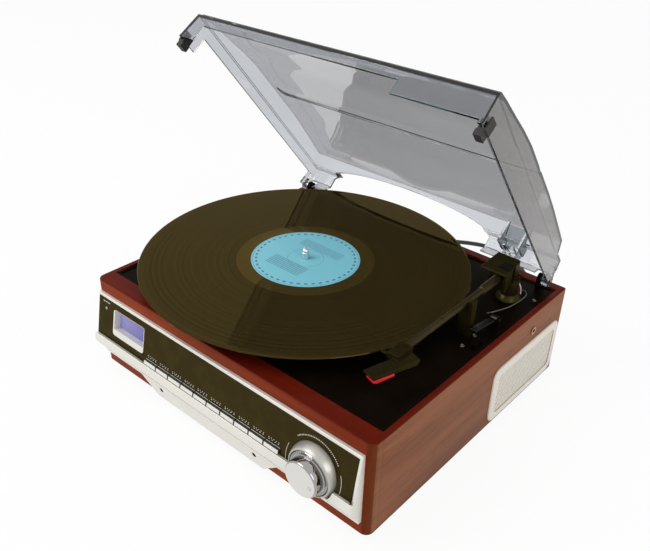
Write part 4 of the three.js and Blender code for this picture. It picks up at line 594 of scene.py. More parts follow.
def prism(outline, depth, place):
    """A closed outline in local X and Y, given depth along local Z."""
    work = bmesh.new()
    bottom, top = layers(work, [(outline, 0), (outline, depth)])
    work.faces.new(list(reversed(bottom)))
    work.faces.new(top)
    bridge(work, bottom, top)
    return mesh_of(work, place)


def ringed(levels, place):
    """Outlines at heights, joined in turn into one closed ring."""
    work = bmesh.new()
    rings = layers(work, levels)
    for ring, following in zip(rings, rings[1:] + rings[:1]):
        bridge(work, ring, following)
    return mesh_of(work, place)


def moved(mesh, place):
    mesh.transform(place)
    mesh.update()
    return mesh


def merged(*meshes):
    """Several meshes with one material as one mesh."""
    work = bmesh.new()
    for mesh in meshes:
        work.from_mesh(mesh)
    result = bpy.data.meshes.new("merged")
    work.to_mesh(result)
    work.free()
    return result


def frame_matrix(across, upward, out, origin):
    """The matrix that takes local X, Y and Z to three directions from an origin."""
    turn = Matrix((across, upward, out)).transposed().to_4x4()
    return Matrix.Translation(origin) @ turn


def panel_ways():
    """The directions to the right, down the control panel's slope and out of its face."""
    out = -Vector(joint("key_1_press")["axis"]).normalized()
    down = Vector((0, -out.z, out.y)).normalized()
    return RIGHT, down, RIGHT.cross(down)


def slope_box(node):
    """A node's place, width, run down the slope and depth out of it, for a block lying on the panel."""
    ways = panel_ways()
    wide, deep, tall = high(node) - low(node)
    cosine, sine = abs(ways[1].z), abs(ways[1].y)
    spread = cosine ** 2 - sine ** 2
    run, depth = (tall * cosine - deep * sine) / spread, (deep * cosine - tall * sine) / spread
    return frame_matrix(*ways, middle(node)), wide, run, depth


def panel_matrix():
    """The panel's place, measured from the middle of its face's top edge, and its run."""
    ways = panel_ways()
    run = slope_box("control_panel")[2]
    y = low("control_panel").y + run * abs(ways[1].y)
    origin = Vector((middle("control_panel").x, y, high("control_panel").z))
    return frame_matrix(*ways, origin), run


# Sizes and colours


def length(name, description, default, least=0.0, most=1.0):
    return FloatProperty(
        name=name, description=description, default=default, min=least, max=most,
        unit="LENGTH", precision=5,
    )


def colour(name, description, default):
    return FloatVectorProperty(
        name=name, description=description, default=default, size=3, min=0, max=1, subtype="COLOR"
    )


def factor(name, description, default):
    return FloatProperty(
        name=name, description=description, default=default, min=0, max=1, subtype="FACTOR"
    )


def power(name, description, default):
    return FloatProperty(name=name, description=description, default=default, unit="POWER")


def count(name, description, default, most=500):
    return IntProperty(name=name, description=description, default=default, min=1, max=most)


class StageSettings(bpy.types.PropertyGroup):
    daylight: factor("Daylight", "Brightness of the room around the player", 0.62)
    key_power: power("Key lamp", "Power of the key lamp", 13)
    fill_power: power("Fill lamp", "Power of the fill lamp", 4)
    floor_size: length("Floor size", "Side of the square floor", 6.0, 1.0, 20.0)


class VeneerSettings(bpy.types.PropertyGroup):
    dark: colour("Dark grain", "Colour of the veneer's dark streaks", (0.150, 0.043, 0.0135))
    light: colour("Light grain", "Colour of the veneer between the streaks", (0.270, 0.100, 0.042))
    front_tint: colour("Front tint", "How much redder the front board is", (0.95, 0.42, 0.22))
    # The rim colour is the rim's own dark red with painted shade laid in, since upward faces are lit less
    # than the sides.
    rim: colour("Rim", "Colour of the dark red rim round the deck", (0.100, 0.0070, 0.0022))
    corner: colour("Corner", "Colour of the rounded front corners", (0.105, 0.020, 0.0025))
    edge_strip: length("Edge strip", "Width of the solid strip behind the front corners", 0.0112)


class SilverSettings(bpy.types.PropertyGroup):
    silver: colour("Silver", "Colour of the lacquered silver front", (0.84, 0.82, 0.75))
    cream: colour("Cream", "Colour of the loudspeaker grilles", (0.86, 0.81, 0.71))


class BlackSettings(bpy.types.PropertyGroup):
    deck: colour("Deck black", "Colour of the textured black deck", (0.0055, 0.0034, 0.0018))
    arm: colour("Arm black", "Colour of the tonearm's mouldings", (0.023, 0.018, 0.006))
    panel: colour("Panel black", "Colour of the polished control panel", (0.036, 0.026, 0.007))


class RecordSettings(bpy.types.PropertyGroup):
    vinyl: colour("Vinyl", "Colour of the record", (0.050, 0.034, 0.009))
    label: colour("Label", "Colour of the record's label", (0.21, 0.60, 0.72))
    ink: colour("Label ink", "Colour of the label's plain printed rules", (0.03, 0.09, 0.16))
    bands: count("Bands", "Number of recorded bands", 6, 20)
    groove_pitch: length("Groove pitch", "Distance between the grooves that show", 0.0011, 0.0002, 0.01)


class LidSettings(bpy.types.PropertyGroup):
    # The roof tint and the right wall tint are painted shade: darker copies of the walls' smoke tint.
    roof_shade_tint: colour("Roof tint", "Tint of light through the lid's roof", (0.39, 0.395, 0.41))
    wall_tint: colour("Wall tint", "Tint of light through the lid's walls", (0.60, 0.62, 0.65))
    right_wall_shade_tint: colour("Right tint", "Tint of light through the lid's right wall", (0.41, 0.39, 0.375))
    housing_tint: colour("Housing tint", "Tint of the housing round the lid's bracket", (0.17, 0.20, 0.215))
    edge: length("Edge", "Rounding of the lid's edges", 0.0003, 0.0, 0.001)


class DialSettings(bpy.types.PropertyGroup):
    scale_radius: length("Scale radius", "Radius of the printed arcs round the dial", 0.0273)
    ticks: count("Ticks", "Number of ticks on the silver ring", 48)
    marks: colour("Marks", "Colour of the printed marks", (0.72, 0.70, 0.64))


class GrilleSettings(bpy.types.PropertyGroup):
    pitch: length("Pitch", "Distance between the grille's holes", 0.0021, 0.001, 0.01)
    hole: length("Hole", "Radius of a hole", 0.00062, 0.0001, 0.004)


class CordSettings(bpy.types.PropertyGroup):
    diameter: length("Diameter", "Diameter of the mains lead", 0.005, 0.002, 0.02)
    coil_radius: length("Coil radius", "Radius of the outer turn's centre line", 0.037)
    coil_pitch: length("Coil pitch", "Distance between neighbouring turns", 0.00555)
    layer_turns: count("Turns", "Turns in each layer of the coil", 3, 10)
    tail: length("Tail", "Straight stretch before the plug", 0.022)


def group(kind, name, description):
    return PointerProperty(type=kind, name=name, description=description)


class PlayerSettings(bpy.types.PropertyGroup):
    stage: group(StageSettings, "Stage", "Lamps and floor")
    veneer: group(VeneerSettings, "Veneer", "Wood of the cabinet")
    silver: group(SilverSettings, "Silver", "Front and grilles")
    black: group(BlackSettings, "Black", "Deck and panel")
    record: group(RecordSettings, "Record", "Record and label")
    lid: group(LidSettings, "Lid", "Smoked lid")
    dial: group(DialSettings, "Dial", "Volume dial and its scale")
    grille: group(GrilleSettings, "Grille", "Loudspeaker grilles")
    cord: group(CordSettings, "Cord", "Mains lead")


# Finishes


def veneer(look):
    """Reddish brown wood whose grain runs along each board, under satin lacquer."""
    finish = Finish("veneer")
    x, y, z = finish.parts(finish.place())
    nx, ny, nz = finish.parts(finish.facing())
    middle_x = middle("cabinet").x
    opening = high("base_panel").x - middle_x
    side = abs(nx) > 0.6
    top = nz > 0.6
    turned_grain = side.larger(top * (abs(x - middle_x) > opening - 0.001))
    along = x * (1 - turned_grain) + y * turned_grain
    across = y * (1 - turned_grain) + x * turned_grain
    streaks = finish.noise(finish.joined(along * 5, across * 60, z * 60), 1.0, 5, 0.6, 0.6)
    figure = finish.noise(finish.joined(along * 2.2, across * 16, z * 16), 1.0, 3, 0.5, 1.4)
    pores = finish.noise(finish.joined(along * 45, across * 900, z * 900), 1.0, 2, 0.5)
    dark, light, corner_colour = tuple(look.dark), tuple(look.light), tuple(look.corner)
    between = tuple((a + b) / 2 for a, b in zip(dark, light))
    wood = finish.ramp(streaks * 0.5 + figure * 0.5, (0.38, dark), (0.5, between), (0.60, light))
    wood = finish.blend(pores.ramped(0.56, 0.7) * 0.35, wood, dimmed(dark, 0.5))
    redder = finish.blend(1.0, wood, dimmed(look.front_tint, 1.3), "MULTIPLY")
    wood = finish.blend(ny.ramped(-0.75, -0.5, 1.0, 0.0), wood, redder)
    # Upward faces take the rim colour in streaks: the rim's dark red, darkened as painted shade because the
    # top is lit less than the sides.
    shaded_top_wood = finish.blend(streaks, dimmed(look.rim, 0.7), dimmed(look.rim, 1.5))
    wood = finish.blend(nz.ramped(0.35, 0.8) * 0.97, wood, shaded_top_wood)
    behind = y - low("cabinet").y
    strip = side * (behind < look.edge_strip)
    corner = (abs(nx) > 0.12) * (abs(nx) < 0.94) * (ny < -0.2)
    seam = side * (abs(behind - look.edge_strip) < 0.0003)
    wood = finish.blend(strip * 0.2, wood, light)
    wood = finish.blend(corner * 0.8, wood, corner_colour)
    wood = finish.blend(seam * 0.4, wood, corner_colour)
    normal = finish.bump(pores * 0.6 + streaks * 0.4 - seam * 2, 0.15, 0.0002)
    rough = streaks.ramped(0.3, 0.7, 0.26, 0.38)
    return finish.surface(
        wood, rough, normal, Specular_IOR_Level=0.03, Coat_Weight=0.04, Coat_Roughness=0.1
    )


def fibreboard():
    finish = Finish("fibreboard")
    fibres = finish.noise(finish.place(), 900.0, 6, 0.7)
    clumps = finish.noise(finish.place(), 60.0, 3, 0.6)
    mixed = fibres * 0.6 + clumps * 0.4
    base = finish.ramp(mixed, (0.35, (0.05, 0.028, 0.016)), (0.7, (0.17, 0.10, 0.06)))
    return finish.surface(base, fibres.ramped(0.2, 0.8, 0.7, 0.9), finish.bump(fibres, 0.5, 0.0003))


def lacquer(name, colour_value, metallic, roughness, grain=2600.0):
    """Silver or cream lacquer with fine flakes and faint flow."""
    finish = Finish(name)
    flakes = finish.noise(finish.place(), grain, 2, 0.6)
    flow = finish.noise(finish.place(), 30.0, 2, 0.5)
    share = flakes.ramped(0.35, 0.65) * 0.6 + flow * 0.2
    base = finish.blend(share, dimmed(colour_value, 0.86), tuple(colour_value))
    rough = flow.ramped(0.3, 0.7, roughness - 0.05, roughness + 0.07)
    return finish.surface(base, rough, finish.bump(flakes, 0.12, 0.0001), Metallic=metallic)


def key_silver(colour_value):
    """Silver lacquer on a key's face; its sides and upper end are bare dark plastic."""
    finish = Finish("key_silver")
    nx, _, nz = finish.parts(finish.facing())
    flakes = finish.noise(finish.place(), 2400.0, 2, 0.6)
    share = flakes.ramped(0.35, 0.65) * 0.5
    silver = finish.blend(share, dimmed(colour_value, 0.9), tuple(colour_value))
    bare = (abs(nx) > 0.6).larger(nz > 0.75)
    base = finish.blend(bare * 0.95, silver, (0.012, 0.011, 0.009))
    rough = flakes.ramped(0.3, 0.7, 0.28, 0.36)
    return finish.surface(base, rough, finish.bump(flakes, 0.1, 0.0001), Metallic=0.3)


WARM_EDGE = (0.6, 0.55, 0.4, 1)


def moulding(name, colour_value, roughness=0.42, grain=1500.0, bump=0.35, sheen=0.5):
    """Black plastic with a fine spark-eroded texture and a warm, weak sheen."""
    finish = Finish(name)
    texture = finish.node("ShaderNodeTexVoronoi", {}, {"Vector": finish.place(), "Scale": grain})
    patches = finish.noise(finish.place(), 40.0, 4, 0.6)
    lighter = tuple(part * 1.6 + 0.001 for part in colour_value)
    base = finish.blend(patches.ramped(0.4, 0.7) * 0.5, tuple(colour_value), lighter)
    rough = patches.ramped(0.3, 0.7, roughness - 0.05, roughness + 0.08)
    normal = finish.bump(texture, bump, 0.0001)
    return finish.surface(
        base, rough, normal, Metallic=sheen, Specular_IOR_Level=0.02, Specular_Tint=WARM_EDGE
    )


def polished_black(look):
    finish = Finish("polished_panel")
    haze = finish.noise(finish.place(), 70.0, 4, 0.6)
    specks = finish.noise(finish.place(), 1800.0, 2, 0.5)
    base = finish.blend(haze.ramped(0.4, 0.7) * 0.5, tuple(look.panel), dimmed(look.panel, 1.5))
    rough = haze.ramped(0.3, 0.7, 0.1, 0.2) + specks.ramped(0.66, 0.72) * 0.2
    normal = finish.bump(haze, 0.02, 0.0003)
    return finish.surface(
        base, rough, normal, Metallic=0.5, Specular_IOR_Level=0.06, Specular_Tint=WARM_EDGE
    )


def bright_metal(name, colour_value, roughness=0.08, brushed=0.3, scale=(30.0, 1200.0, 1200.0)):
    """Metal with fine lines drawn out along the axis of the smallest scale."""
    finish = Finish(name)
    lines = finish.noise(finish.stretched(scale), 1.0, 3, 0.6)
    smears = finish.noise(finish.place(), 90.0, 3, 0.6)
    base = finish.blend(lines.ramped(0.3, 0.7) * 0.5, dimmed(colour_value, 0.86), colour_value)
    rough = smears.ramped(0.35, 0.75, roughness, roughness + 0.1)
    return finish.surface(base, rough, finish.bump(lines, brushed * 0.2, 0.0001), Metallic=1.0)


def mottled(name, noise, share, first, second, rough, bump, **constants):
    """Two colours, a range of roughness and a fine bump, all from one noise; share ends in its most."""
    finish = Finish(name)
    spots = finish.noise(finish.place(), *noise)
    *span, most = share
    spread = spots.ramped(*span) if span else spots
    base = finish.blend(spread * most, tuple(first), tuple(second))
    return finish.surface(
        base, spots.ramped(0.3, 0.7, *rough), finish.bump(spots, *bump), **constants
    )


def rubber(name="rubber", colour_value=(0.018, 0.017, 0.015)):
    light = dimmed(colour_value, 2.2)
    noise, share = (300.0, 5, 0.65), (0.45, 0.75, 0.5)
    return mottled(name, noise, share, colour_value, light, (0.55, 0.75), (0.3, 0.0002))


def red_moulding():
    noise, share = (250.0, 3, 0.6), (0.4, 0.7, 0.4)
    red, deep = shade(215, 8, 22), shade(150, 0, 8)
    return mottled("red_moulding", noise, share, red, deep, (0.2, 0.32), (0.06, 0.0002))


def lens():
    noise, share = (1200.0, 2, 0.5), (0.5,)
    dull, pale = (0.24, 0.25, 0.21), (0.42, 0.43, 0.36)
    return mottled("lamp_lens", noise, share, dull, pale, (0.12, 0.25), (0.1, 0.0001), Coat_Weight=0.5)


def printed_ink(look):
    noise, share = (1500.0, 3, 0.6), (0.5, 0.8, 0.4)
    worn = dimmed(look.marks, 0.6)
    return mottled("printed_ink", noise, share, look.marks, worn, (0.45, 0.6), (0.1, 0.0001))


def coloured_wire(name, colour_value):
    noise, share = (500.0, 3, 0.6), (0.4,)
    grimy = dimmed(colour_value, 0.6)
    return mottled(name, noise, share, colour_value, grimy, (0.3, 0.45), (0.1, 0.0001))


def vinyl(look):
    """Pressed black vinyl: grooves, smooth gaps between the bands and a smooth dead wax, with painted
    sheen: the gaps and dead wax are coloured lighter and the grooved bands darker.
    """
    finish = Finish("vinyl")
    x, y, _ = finish.centred(middle("record"))
    radius = (x * x + y * y) ** 0.5
    first, last = half_width("record") - RECORD_EDGE, half_width("record_label") + DEAD_WAX
    step, gap = (first - last) / look.bands, 0.0009
    grooved = (radius < first) * (radius > last) * ((first - radius) % step > gap)
    ring = (radius * (TURN / look.groove_pitch)).sine()
    tracks = finish.noise(finish.joined(radius * 420, 0.0, 0.0), 1.0, 4, 0.75)
    dust = finish.noise(finish.place(), 700.0, 4, 0.7)
    base = tuple(look.vinyl)
    # Painted sheen: the grooved bands are coloured darker in streaks and the smooth gaps and dead wax
    # lighter, standing in for how each reflects light.
    vinyl_painted_sheen = finish.blend(tracks.ramped(0.35, 0.65) * grooved, dimmed(base, 0.60), base)
    vinyl_painted_sheen = finish.blend((1 - grooved) * 0.6, vinyl_painted_sheen, dimmed(base, 1.15))
    vinyl_painted_sheen = finish.blend((radius < last) * 0.7, vinyl_painted_sheen, dimmed(base, 1.6))
    rough = grooved * (tracks * 0.04 + 0.04) + (1 - grooved) * 0.03 + dust.ramped(0.6, 0.8) * 0.05
    normal = finish.bump((ring * 0.4 + tracks * 0.6) * grooved, 0.002, 0.00005)
    return finish.surface(
        vinyl_painted_sheen, rough, normal, Metallic=0.6, Specular_IOR_Level=0.08, Specular_Tint=WARM_EDGE
    )


def label_paper(look):
    """Plain pale paper with a dashed rim and a few ruled lines that say nothing."""
    finish = Finish("label_paper")
    x, y, _ = finish.centred(middle("record_label"))
    radius = (x * x + y * y) ** 0.5
    angle = finish.node("ShaderNodeMath", {"operation": "ARCTAN2"}, {0: y, 1: x})
    rim = (radius > 0.0444) * (radius < 0.0462)
    dashes = (angle * 44).sine() > 0.1
    lower = ((y * (TURN / 0.0024)).sine() > 0.55) * (abs(x + 0.004) < 0.020) * (abs(y + 0.021) < 0.0075)
    upper = ((y * (TURN / 0.0022)).sine() > 0.7) * (abs(x) < 0.024) * (abs(y - 0.022) < 0.006)
    step = (abs(radius - 0.0165) < 0.0003) + (abs(radius - 0.0485) < 0.0004)
    fibres = finish.noise(finish.place(), 1600.0, 4, 0.7)
    ink = tuple(look.ink)
    paper = finish.blend(fibres * 0.35, tuple(look.label), dimmed(look.label, 0.8))
    paper = finish.blend((rim * dashes).larger(lower.larger(upper)) * 0.88, paper, ink)
    paper = finish.blend(step.smaller(1.0) * 0.35, paper, ink)
    normal = finish.bump(fibres * 0.3 - step, 0.3, 0.0001)
    return finish.surface(paper, fibres.ramped(0.3, 0.7, 0.45, 0.6), normal, Coat_Weight=0.1)


def smoked(look):
    """Clear smoked acrylic with painted shade: the roof is tinted darker than the walls, the right wall has
    a darker tint of its own, and the cut rim is painted nearly black.
    """
    finish = Finish("smoked_acrylic")
    x, y, z = finish.parts(finish.place())
    facing = finish.facing()
    sideways = finish.parts(facing)[0]
    roof_way = Vector((0, math.sin(LID_OPEN), math.cos(LID_OPEN)))
    roof = abs(finish.along(facing, roof_way))
    # Painted shade: faces turned like the roof take the darker roof tint.
    tint = finish.blend(roof.ramped(0.45, 0.75), tuple(look.wall_tint), tuple(look.roof_shade_tint))
    # Painted shade: the right wall takes its own darker tint.
    near_right = (abs(sideways) > 0.7) * (x > high("lid").x - 0.03)
    right = ((sideways > 0.7) * (x > middle("lid").x)).larger(near_right)
    tint = finish.blend(right, tint, tuple(look.right_wall_shade_tint))
    base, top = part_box("lid_bracket")
    housing = (x > base.x - 0.004) * (x < top.x + 0.004) * (y > base.y - 0.012) * (z < top.z + 0.012)
    tint = finish.blend(housing * 0.85, tint, tuple(look.housing_tint))
    haze = finish.noise(finish.place(), 25.0, 3, 0.6)
    tint = finish.blend(haze.ramped(0.3, 0.8) * 0.12, tint, (0.5, 0.5, 0.52))
    rim_depth = 0.02
    lid_top = max(corner.co.dot(roof_way) for corner in frame["nodes"]["lid"].data.vertices)
    # Painted shade: the cut rim below the roof is tinted nearly black.
    rim = (roof > 0.9) * (finish.along(finish.place(), roof_way) < lid_top - rim_depth)
    tint = finish.blend(rim * 0.9, tint, (0.02, 0.02, 0.02))
    specks = finish.noise(finish.place(), 500.0, 3, 0.6)
    hairlines = finish.noise(finish.stretched((8.0, 900.0, 60.0), (0.3, 0.8, 0.5)), 1.0, 2, 0.6)
    rough = hairlines.ramped(0.62, 0.75, 0.015, 0.09)
    normal = finish.bump(specks, 0.01, 0.00005)
    return finish.surface(tint, rough, normal, Transmission_Weight=1.0, IOR=1.49)


def display_window():
    """A lit blue violet window behind clear plastic, brighter at its upper left."""
    finish = Finish("display_window")
    x, _, z = finish.centred(middle("display_screen"))
    tilt = x / (2 * half_width("display_screen")) * 0.5 - z * 16 + 0.5
    dots = ((x * 5200).sine() * (z * 5200).sine()).ramped(-0.2, 0.9)
    pale, violet, deep = shade(146, 144, 188), shade(118, 115, 163), shade(96, 90, 150)
    glow = finish.ramp(tilt, (0.1, pale), (0.55, violet), (0.95, deep))
    glow = finish.blend(dots * 0.12, glow, shade(80, 74, 140))
    return finish.surface(
        glow, dots.ramped(0.0, 1.0, 0.2, 0.3), finish.bump(dots, 0.02, 0.0001),
        Emission_Color=glow, Emission_Strength=0.35, Specular_IOR_Level=0.1,
    )


def circuit_board():
    finish = Finish("circuit_board")
    values = {"Vector": finish.place(), "Scale": 130.0}
    tracks = finish.node("ShaderNodeTexVoronoi", {"feature": "DISTANCE_TO_EDGE"}, values)
    fine = finish.noise(finish.place(), 900.0, 3, 0.6)
    light, green, deep = (0.10, 0.32, 0.16), (0.03, 0.16, 0.07), (0.02, 0.11, 0.05)
    base = finish.ramp(tracks, (0.0, light), (0.06, green), (0.3, deep))
    base = finish.blend(fine * 0.3, base, (0.02, 0.09, 0.05))
    return finish.surface(base, fine.ramped(0.3, 0.7, 0.3, 0.45), finish.bump(tracks, 0.2, 0.0002))


def speaker_cone(node):
    """Black paper with moulded rings about the cone's axis."""
    finish = Finish(node + "_cone")
    _, y, z = finish.centred(middle(node))
    rings = ((y * y + z * z) ** 0.5 * 2400).sine()
    fibres = finish.noise(finish.place(), 800.0, 4, 0.7)
    share = rings.ramped(-1.0, 1.0) * 0.4 + fibres * 0.3
    base = finish.blend(share, (0.012, 0.012, 0.012), (0.05, 0.048, 0.045))
    normal = finish.bump(rings * 0.5 + fibres, 0.4, 0.0004)
    return finish.surface(base, fibres.ramped(0.3, 0.7, 0.6, 0.8), normal)


def knob_chrome(centre, barrel):
    """Bright plating with a finely turned pale face; the barrel's plating is darkened as a painted
    reflection of dark surroundings.
    """
    finish = Finish("knob_chrome")
    x, y, z = finish.centred(centre)
    radius = (x * x + z * z) ** 0.5
    face = (radius < barrel - 0.0012) * (y < 0.0006)
    rings = finish.noise(finish.joined(radius * 5200, 0.0, 0.0), 1.0, 2, 0.6)
    # Painted reflection: the barrel's plating is darkened to stand in for the dark surroundings it mirrors;
    # the face is paler.
    base = finish.blend(face, (0.36, 0.35, 0.34), (0.74, 0.72, 0.69))
    base = finish.blend(rings * face * 0.25, base, (0.6, 0.58, 0.55))
    rough = face * (rings * 0.12 + 0.28) + (1 - face) * 0.03
    return finish.surface(base, rough, finish.bump(rings * face, 0.1, 0.0001), Metallic=1.0)


# Stage and cord


class MakeStage(bpy.types.Operator):
    """Make the camera, the floor, the lamps and the room"""

    bl_idname = "player.make_stage"
    bl_label = "Stage"

    def execute(self, context):
        look = context.scene.record_player.stage
        self.make_camera(context)
        self.make_room(context, look)
        self.make_floor(look)
        target = Vector((0, 0, 0.08))
        self.lamp("key_lamp", (-0.75, -0.95, 1.35), target, 1.1, look.key_power)
        self.lamp("fill_lamp", (1.3, -0.35, 0.8), target, 0.9, look.fill_power)
        context.scene.view_settings.view_transform = "Standard"
        return {"FINISHED"}

    def make_camera(self, context):
        data = bpy.data.cameras.new("camera")
        data.lens = LENS
        data.sensor_width = SENSOR_WIDTH
        data.clip_start = 0.01
        data.clip_end = 50
        camera = bpy.data.objects.new("camera", data)
        context.scene.collection.objects.link(camera)
        across = EYE_RIGHT.normalized()
        back = across.cross(EYE_UP).normalized()
        camera.matrix_world = frame_matrix(across, back.cross(across), back, EYE)
        context.scene.camera = camera

    def make_room(self, context, look):
        world = bpy.data.worlds.new("room")
        context.scene.world = world
        world.use_nodes = True
        work = Work(world.node_tree)
        work.tree.nodes.clear()
        strength = work.is_seen() * (1 - look.daylight) + look.daylight
        light = work.node("ShaderNodeBackground", {}, {"Color": (1, 1, 1, 1), "Strength": strength})
        work.node("ShaderNodeOutputWorld", {}, {"Surface": light})

    def make_floor(self, look):
        finish = Finish("floor")
        seen = finish.is_seen()
        matt = finish.node("ShaderNodeBsdfDiffuse", {}, {"Color": (0.9, 0.9, 0.9, 1)})
        glow = finish.node("ShaderNodeEmission", {}, {"Color": (1, 1, 1, 1), "Strength": 1.0})
        mix = finish.node("ShaderNodeMixShader", {}, {0: seen * 0.92, 1: matt, 2: glow})
        finish.node("ShaderNodeOutputMaterial", {}, {"Surface": mix})
        reach, thickness = look.floor_size / 2, 0.01
        corners = [(-reach, -reach), (reach, -reach), (reach, reach), (-reach, reach)]
        floor = bpy.data.objects.new("floor", prism(corners, -thickness, Matrix.Identity(4)))
        floor.data.materials.append(finish.material)
        bpy.context.scene.collection.objects.link(floor)

    def lamp(self, name, place, target, size, power):
        data = bpy.data.lights.new(name, "AREA")
        data.shape = "DISK"
        data.size = size
        data.energy = power
        lamp = bpy.data.objects.new(name, data)
        lamp.location = place
        lamp.rotation_euler = (target - Vector(place)).to_track_quat("-Z", "Y").to_euler()
        bpy.context.scene.collection.objects.link(lamp)


def passing_through(points, steps=6):
    """A centripetal curve through given points, as a list of close points."""
    points = [Vector(point) for point in points]
    ends = [2 * points[0] - points[1], *points, 2 * points[-1] - points[-2]]
    done = []
    for before, start, end, after in zip(ends, ends[1:], ends[2:], ends[3:]):
        pairs = ((before, start), (start, end), (end, after))
        first, span, last = ((b - a).length ** 0.5 for a, b in pairs)
        chord = (end - start) / span
        leave = ((start - before) / first - (end - before) / (first + span) + chord) * span
        arrive = (chord - (after - start) / (span + last) + (after - end) / last) * span
        for step in range(steps):
            t = step / steps
            near = start * (2 * t**3 - 3 * t**2 + 1) + leave * (t**3 - 2 * t**2 + t)
            far = end * (3 * t**2 - 2 * t**3) + arrive * (t**3 - t**2)
            done.append(near + far)
    done.append(points[-1])
    return done


def coil_points(look):
    """Turns going in, up a layer and out again, with a straight tail; also the tail's way."""

    def heading(angle):
        return Vector((-math.sin(angle), math.cos(angle), 0))

    start, steps_per_turn = math.radians(119.4), 48
    turns = 2 * look.layer_turns + 0.5
    steps = round(turns * steps_per_turn)
    points = []
    for i in range(steps + 1):
        turn = turns * i / steps
        angle = start + TURN * turn
        inwards = turn if turn < turns / 2 else turns - turn
        radius = look.coil_radius - look.coil_pitch * inwards
        t = min(max((turn - look.layer_turns) / 0.5, 0), 1)
        climb = t * t * (3 - 2 * t)
        ring = Vector((math.cos(angle), math.sin(angle), 0)) * radius
        points.append(COIL_CENTRE + ring + UP * look.coil_pitch * climb)
    way = heading(start + TURN * turns)
    points.insert(0, points[0] - heading(start) * look.diameter)
    points.append(points[-1] + way * look.tail)
    return points, way


class MakeCord(bpy.types.Operator):
    """Make the mains lead, its strain relief and its plug"""

    bl_idname = "player.make_cord"
    bl_label = "Mains lead"

    def execute(self, context):
        look = context.scene.record_player.cord
        coil, way = coil_points(look)
        clear = 0.0001
        rest = look.diameter / 2 + clear
        points = [point + CABINET_CENTRE for point in [*passing_through(LEAD_POINTS), *coil]]
        points = [Vector((point.x, point.y, max(point.z, rest))) for point in points]
        curve = path_curve(points)
        curve.bevel_depth = look.diameter / 2
        curve.bevel_resolution = 6
        curve.use_fill_caps = True
        cord = bpy.data.objects.new("mains_lead", curve)
        context.scene.collection.objects.link(cord)
        curve.materials.append(rubber("lead_sheath", (0.022, 0.021, 0.019)))
        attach(cord, "player")
        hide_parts("cord_lead", "cord_coil")
        relief = self.make_relief()
        plug = self.make_plug(points[-1], way)
        return {"FINISHED"}

    def make_relief(self):
        """The tapered sleeve with grooves cut round it."""
        spot, wall = middle("strain_relief"), high("cabinet").y
        back, tip = low("strain_relief").y - wall, high("strain_relief").y - wall
        flange, stem, neck, groove = half_width("strain_relief"), 0.0045, 0.0052, 0.0006
        profile = [(0, back), (stem, back), (stem, 0.0003), (flange, 0.0003)]
        profile += [(flange, 0.0018), (flange - 0.0005, 0.0023), (neck, 0.0023)]
        ribs = 7
        step = (tip - 0.005) / ribs
        for rib in range(ribs):
            place, radius = 0.004 + step * rib, neck - 0.0017 * rib / ribs
            profile += [(radius, place), (radius, place + step * 0.55)]
            profile += [(radius - groove, place + step * 0.65), (radius - groove, place + step * 0.9)]
        profile += [(0.0033, tip), (0, tip)]
        mesh = turned(profile, (spot.x, wall, spot.z), -FRONT, 40)
        soft = rubber("relief_rubber")
        return piece("strain_relief_piece", mesh, soft, "player", "rubber", "strain_relief")

    def make_plug(self, end, way):
        """The flat plug, with its pins in plated metal."""
        mesh = refined("plug", bevel=0.5, segments=3)
        black = moulding("plug_moulding", (0.02, 0.02, 0.019), roughness=0.4, grain=1300.0)
        made = piece("plug_piece", mesh, black, "player", "black_plastic", "plug")
        mesh.materials.append(bright_metal("pin_metal", (0.78, 0.77, 0.74), roughness=0.15))
        body_end = 0.0364
        for face in mesh.polygons:
            face.material_index = int((face.center - end).dot(way) > body_end)
        return made


# Cabinet and front


class MakeCabinet(bpy.types.Operator):
    """Make the veneered cabinet"""

    bl_idname = "player.make_cabinet"
    bl_label = "Cabinet"

    def execute(self, context):
        dressed("cabinet", veneer(context.scene.record_player.veneer), bevel=0.35, segments=2, angle=25)
        return {"FINISHED"}


class MakeUnderside(bpy.types.Operator):
    """Make the base board, its screws and the four feet"""

    bl_idname = "player.make_underside"
    bl_label = "Underside"

    def execute(self, context):
        painted("base_panel", fibreboard())
        soft = rubber("foot_rubber")
        for foot in ("foot_front_left", "foot_front_right", "foot_rear_left", "foot_rear_right"):
            self.make_foot(foot, soft)
        steel = bright_metal("screw_steel", (0.55, 0.55, 0.54), roughness=0.25)
        base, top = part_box("base_panel")
        inset = 0.012
        across = (base.x + inset, middle("base_panel").x, top.x - inset)
        spots = [(x, y, base.z) for x in across for y in (base.y + inset, top.y - inset)]
        piece("base_screws", screws(spots, steel, radius=0.0034, down=True), steel, "player", "steel")
        return {"FINISHED"}

    def make_foot(self, node, soft):
        """A disc with a dished sole and a rounded edge."""
        spot, base, radius, tall = middle(node), low(node).z, half_width(node), (high(node) - low(node)).z
        profile = [(0, 0.0009), (0.0035, 0.0009), (0.0045, 0.0002)]
        profile += [(radius - 0.0022, 0.0), (radius - 0.0010, 0.0006), (radius - 0.0004, 0.0018)]
        profile += [(radius, tall - 0.0008), (radius - 0.0003, tall - 0.0002)]
        profile += [(radius - 0.0008, tall), (0, tall)]
        mesh = turned(profile, (spot.x, spot.y, base), UP, 48)
        piece(node + "_piece", mesh, soft, "player", "rubber", node)


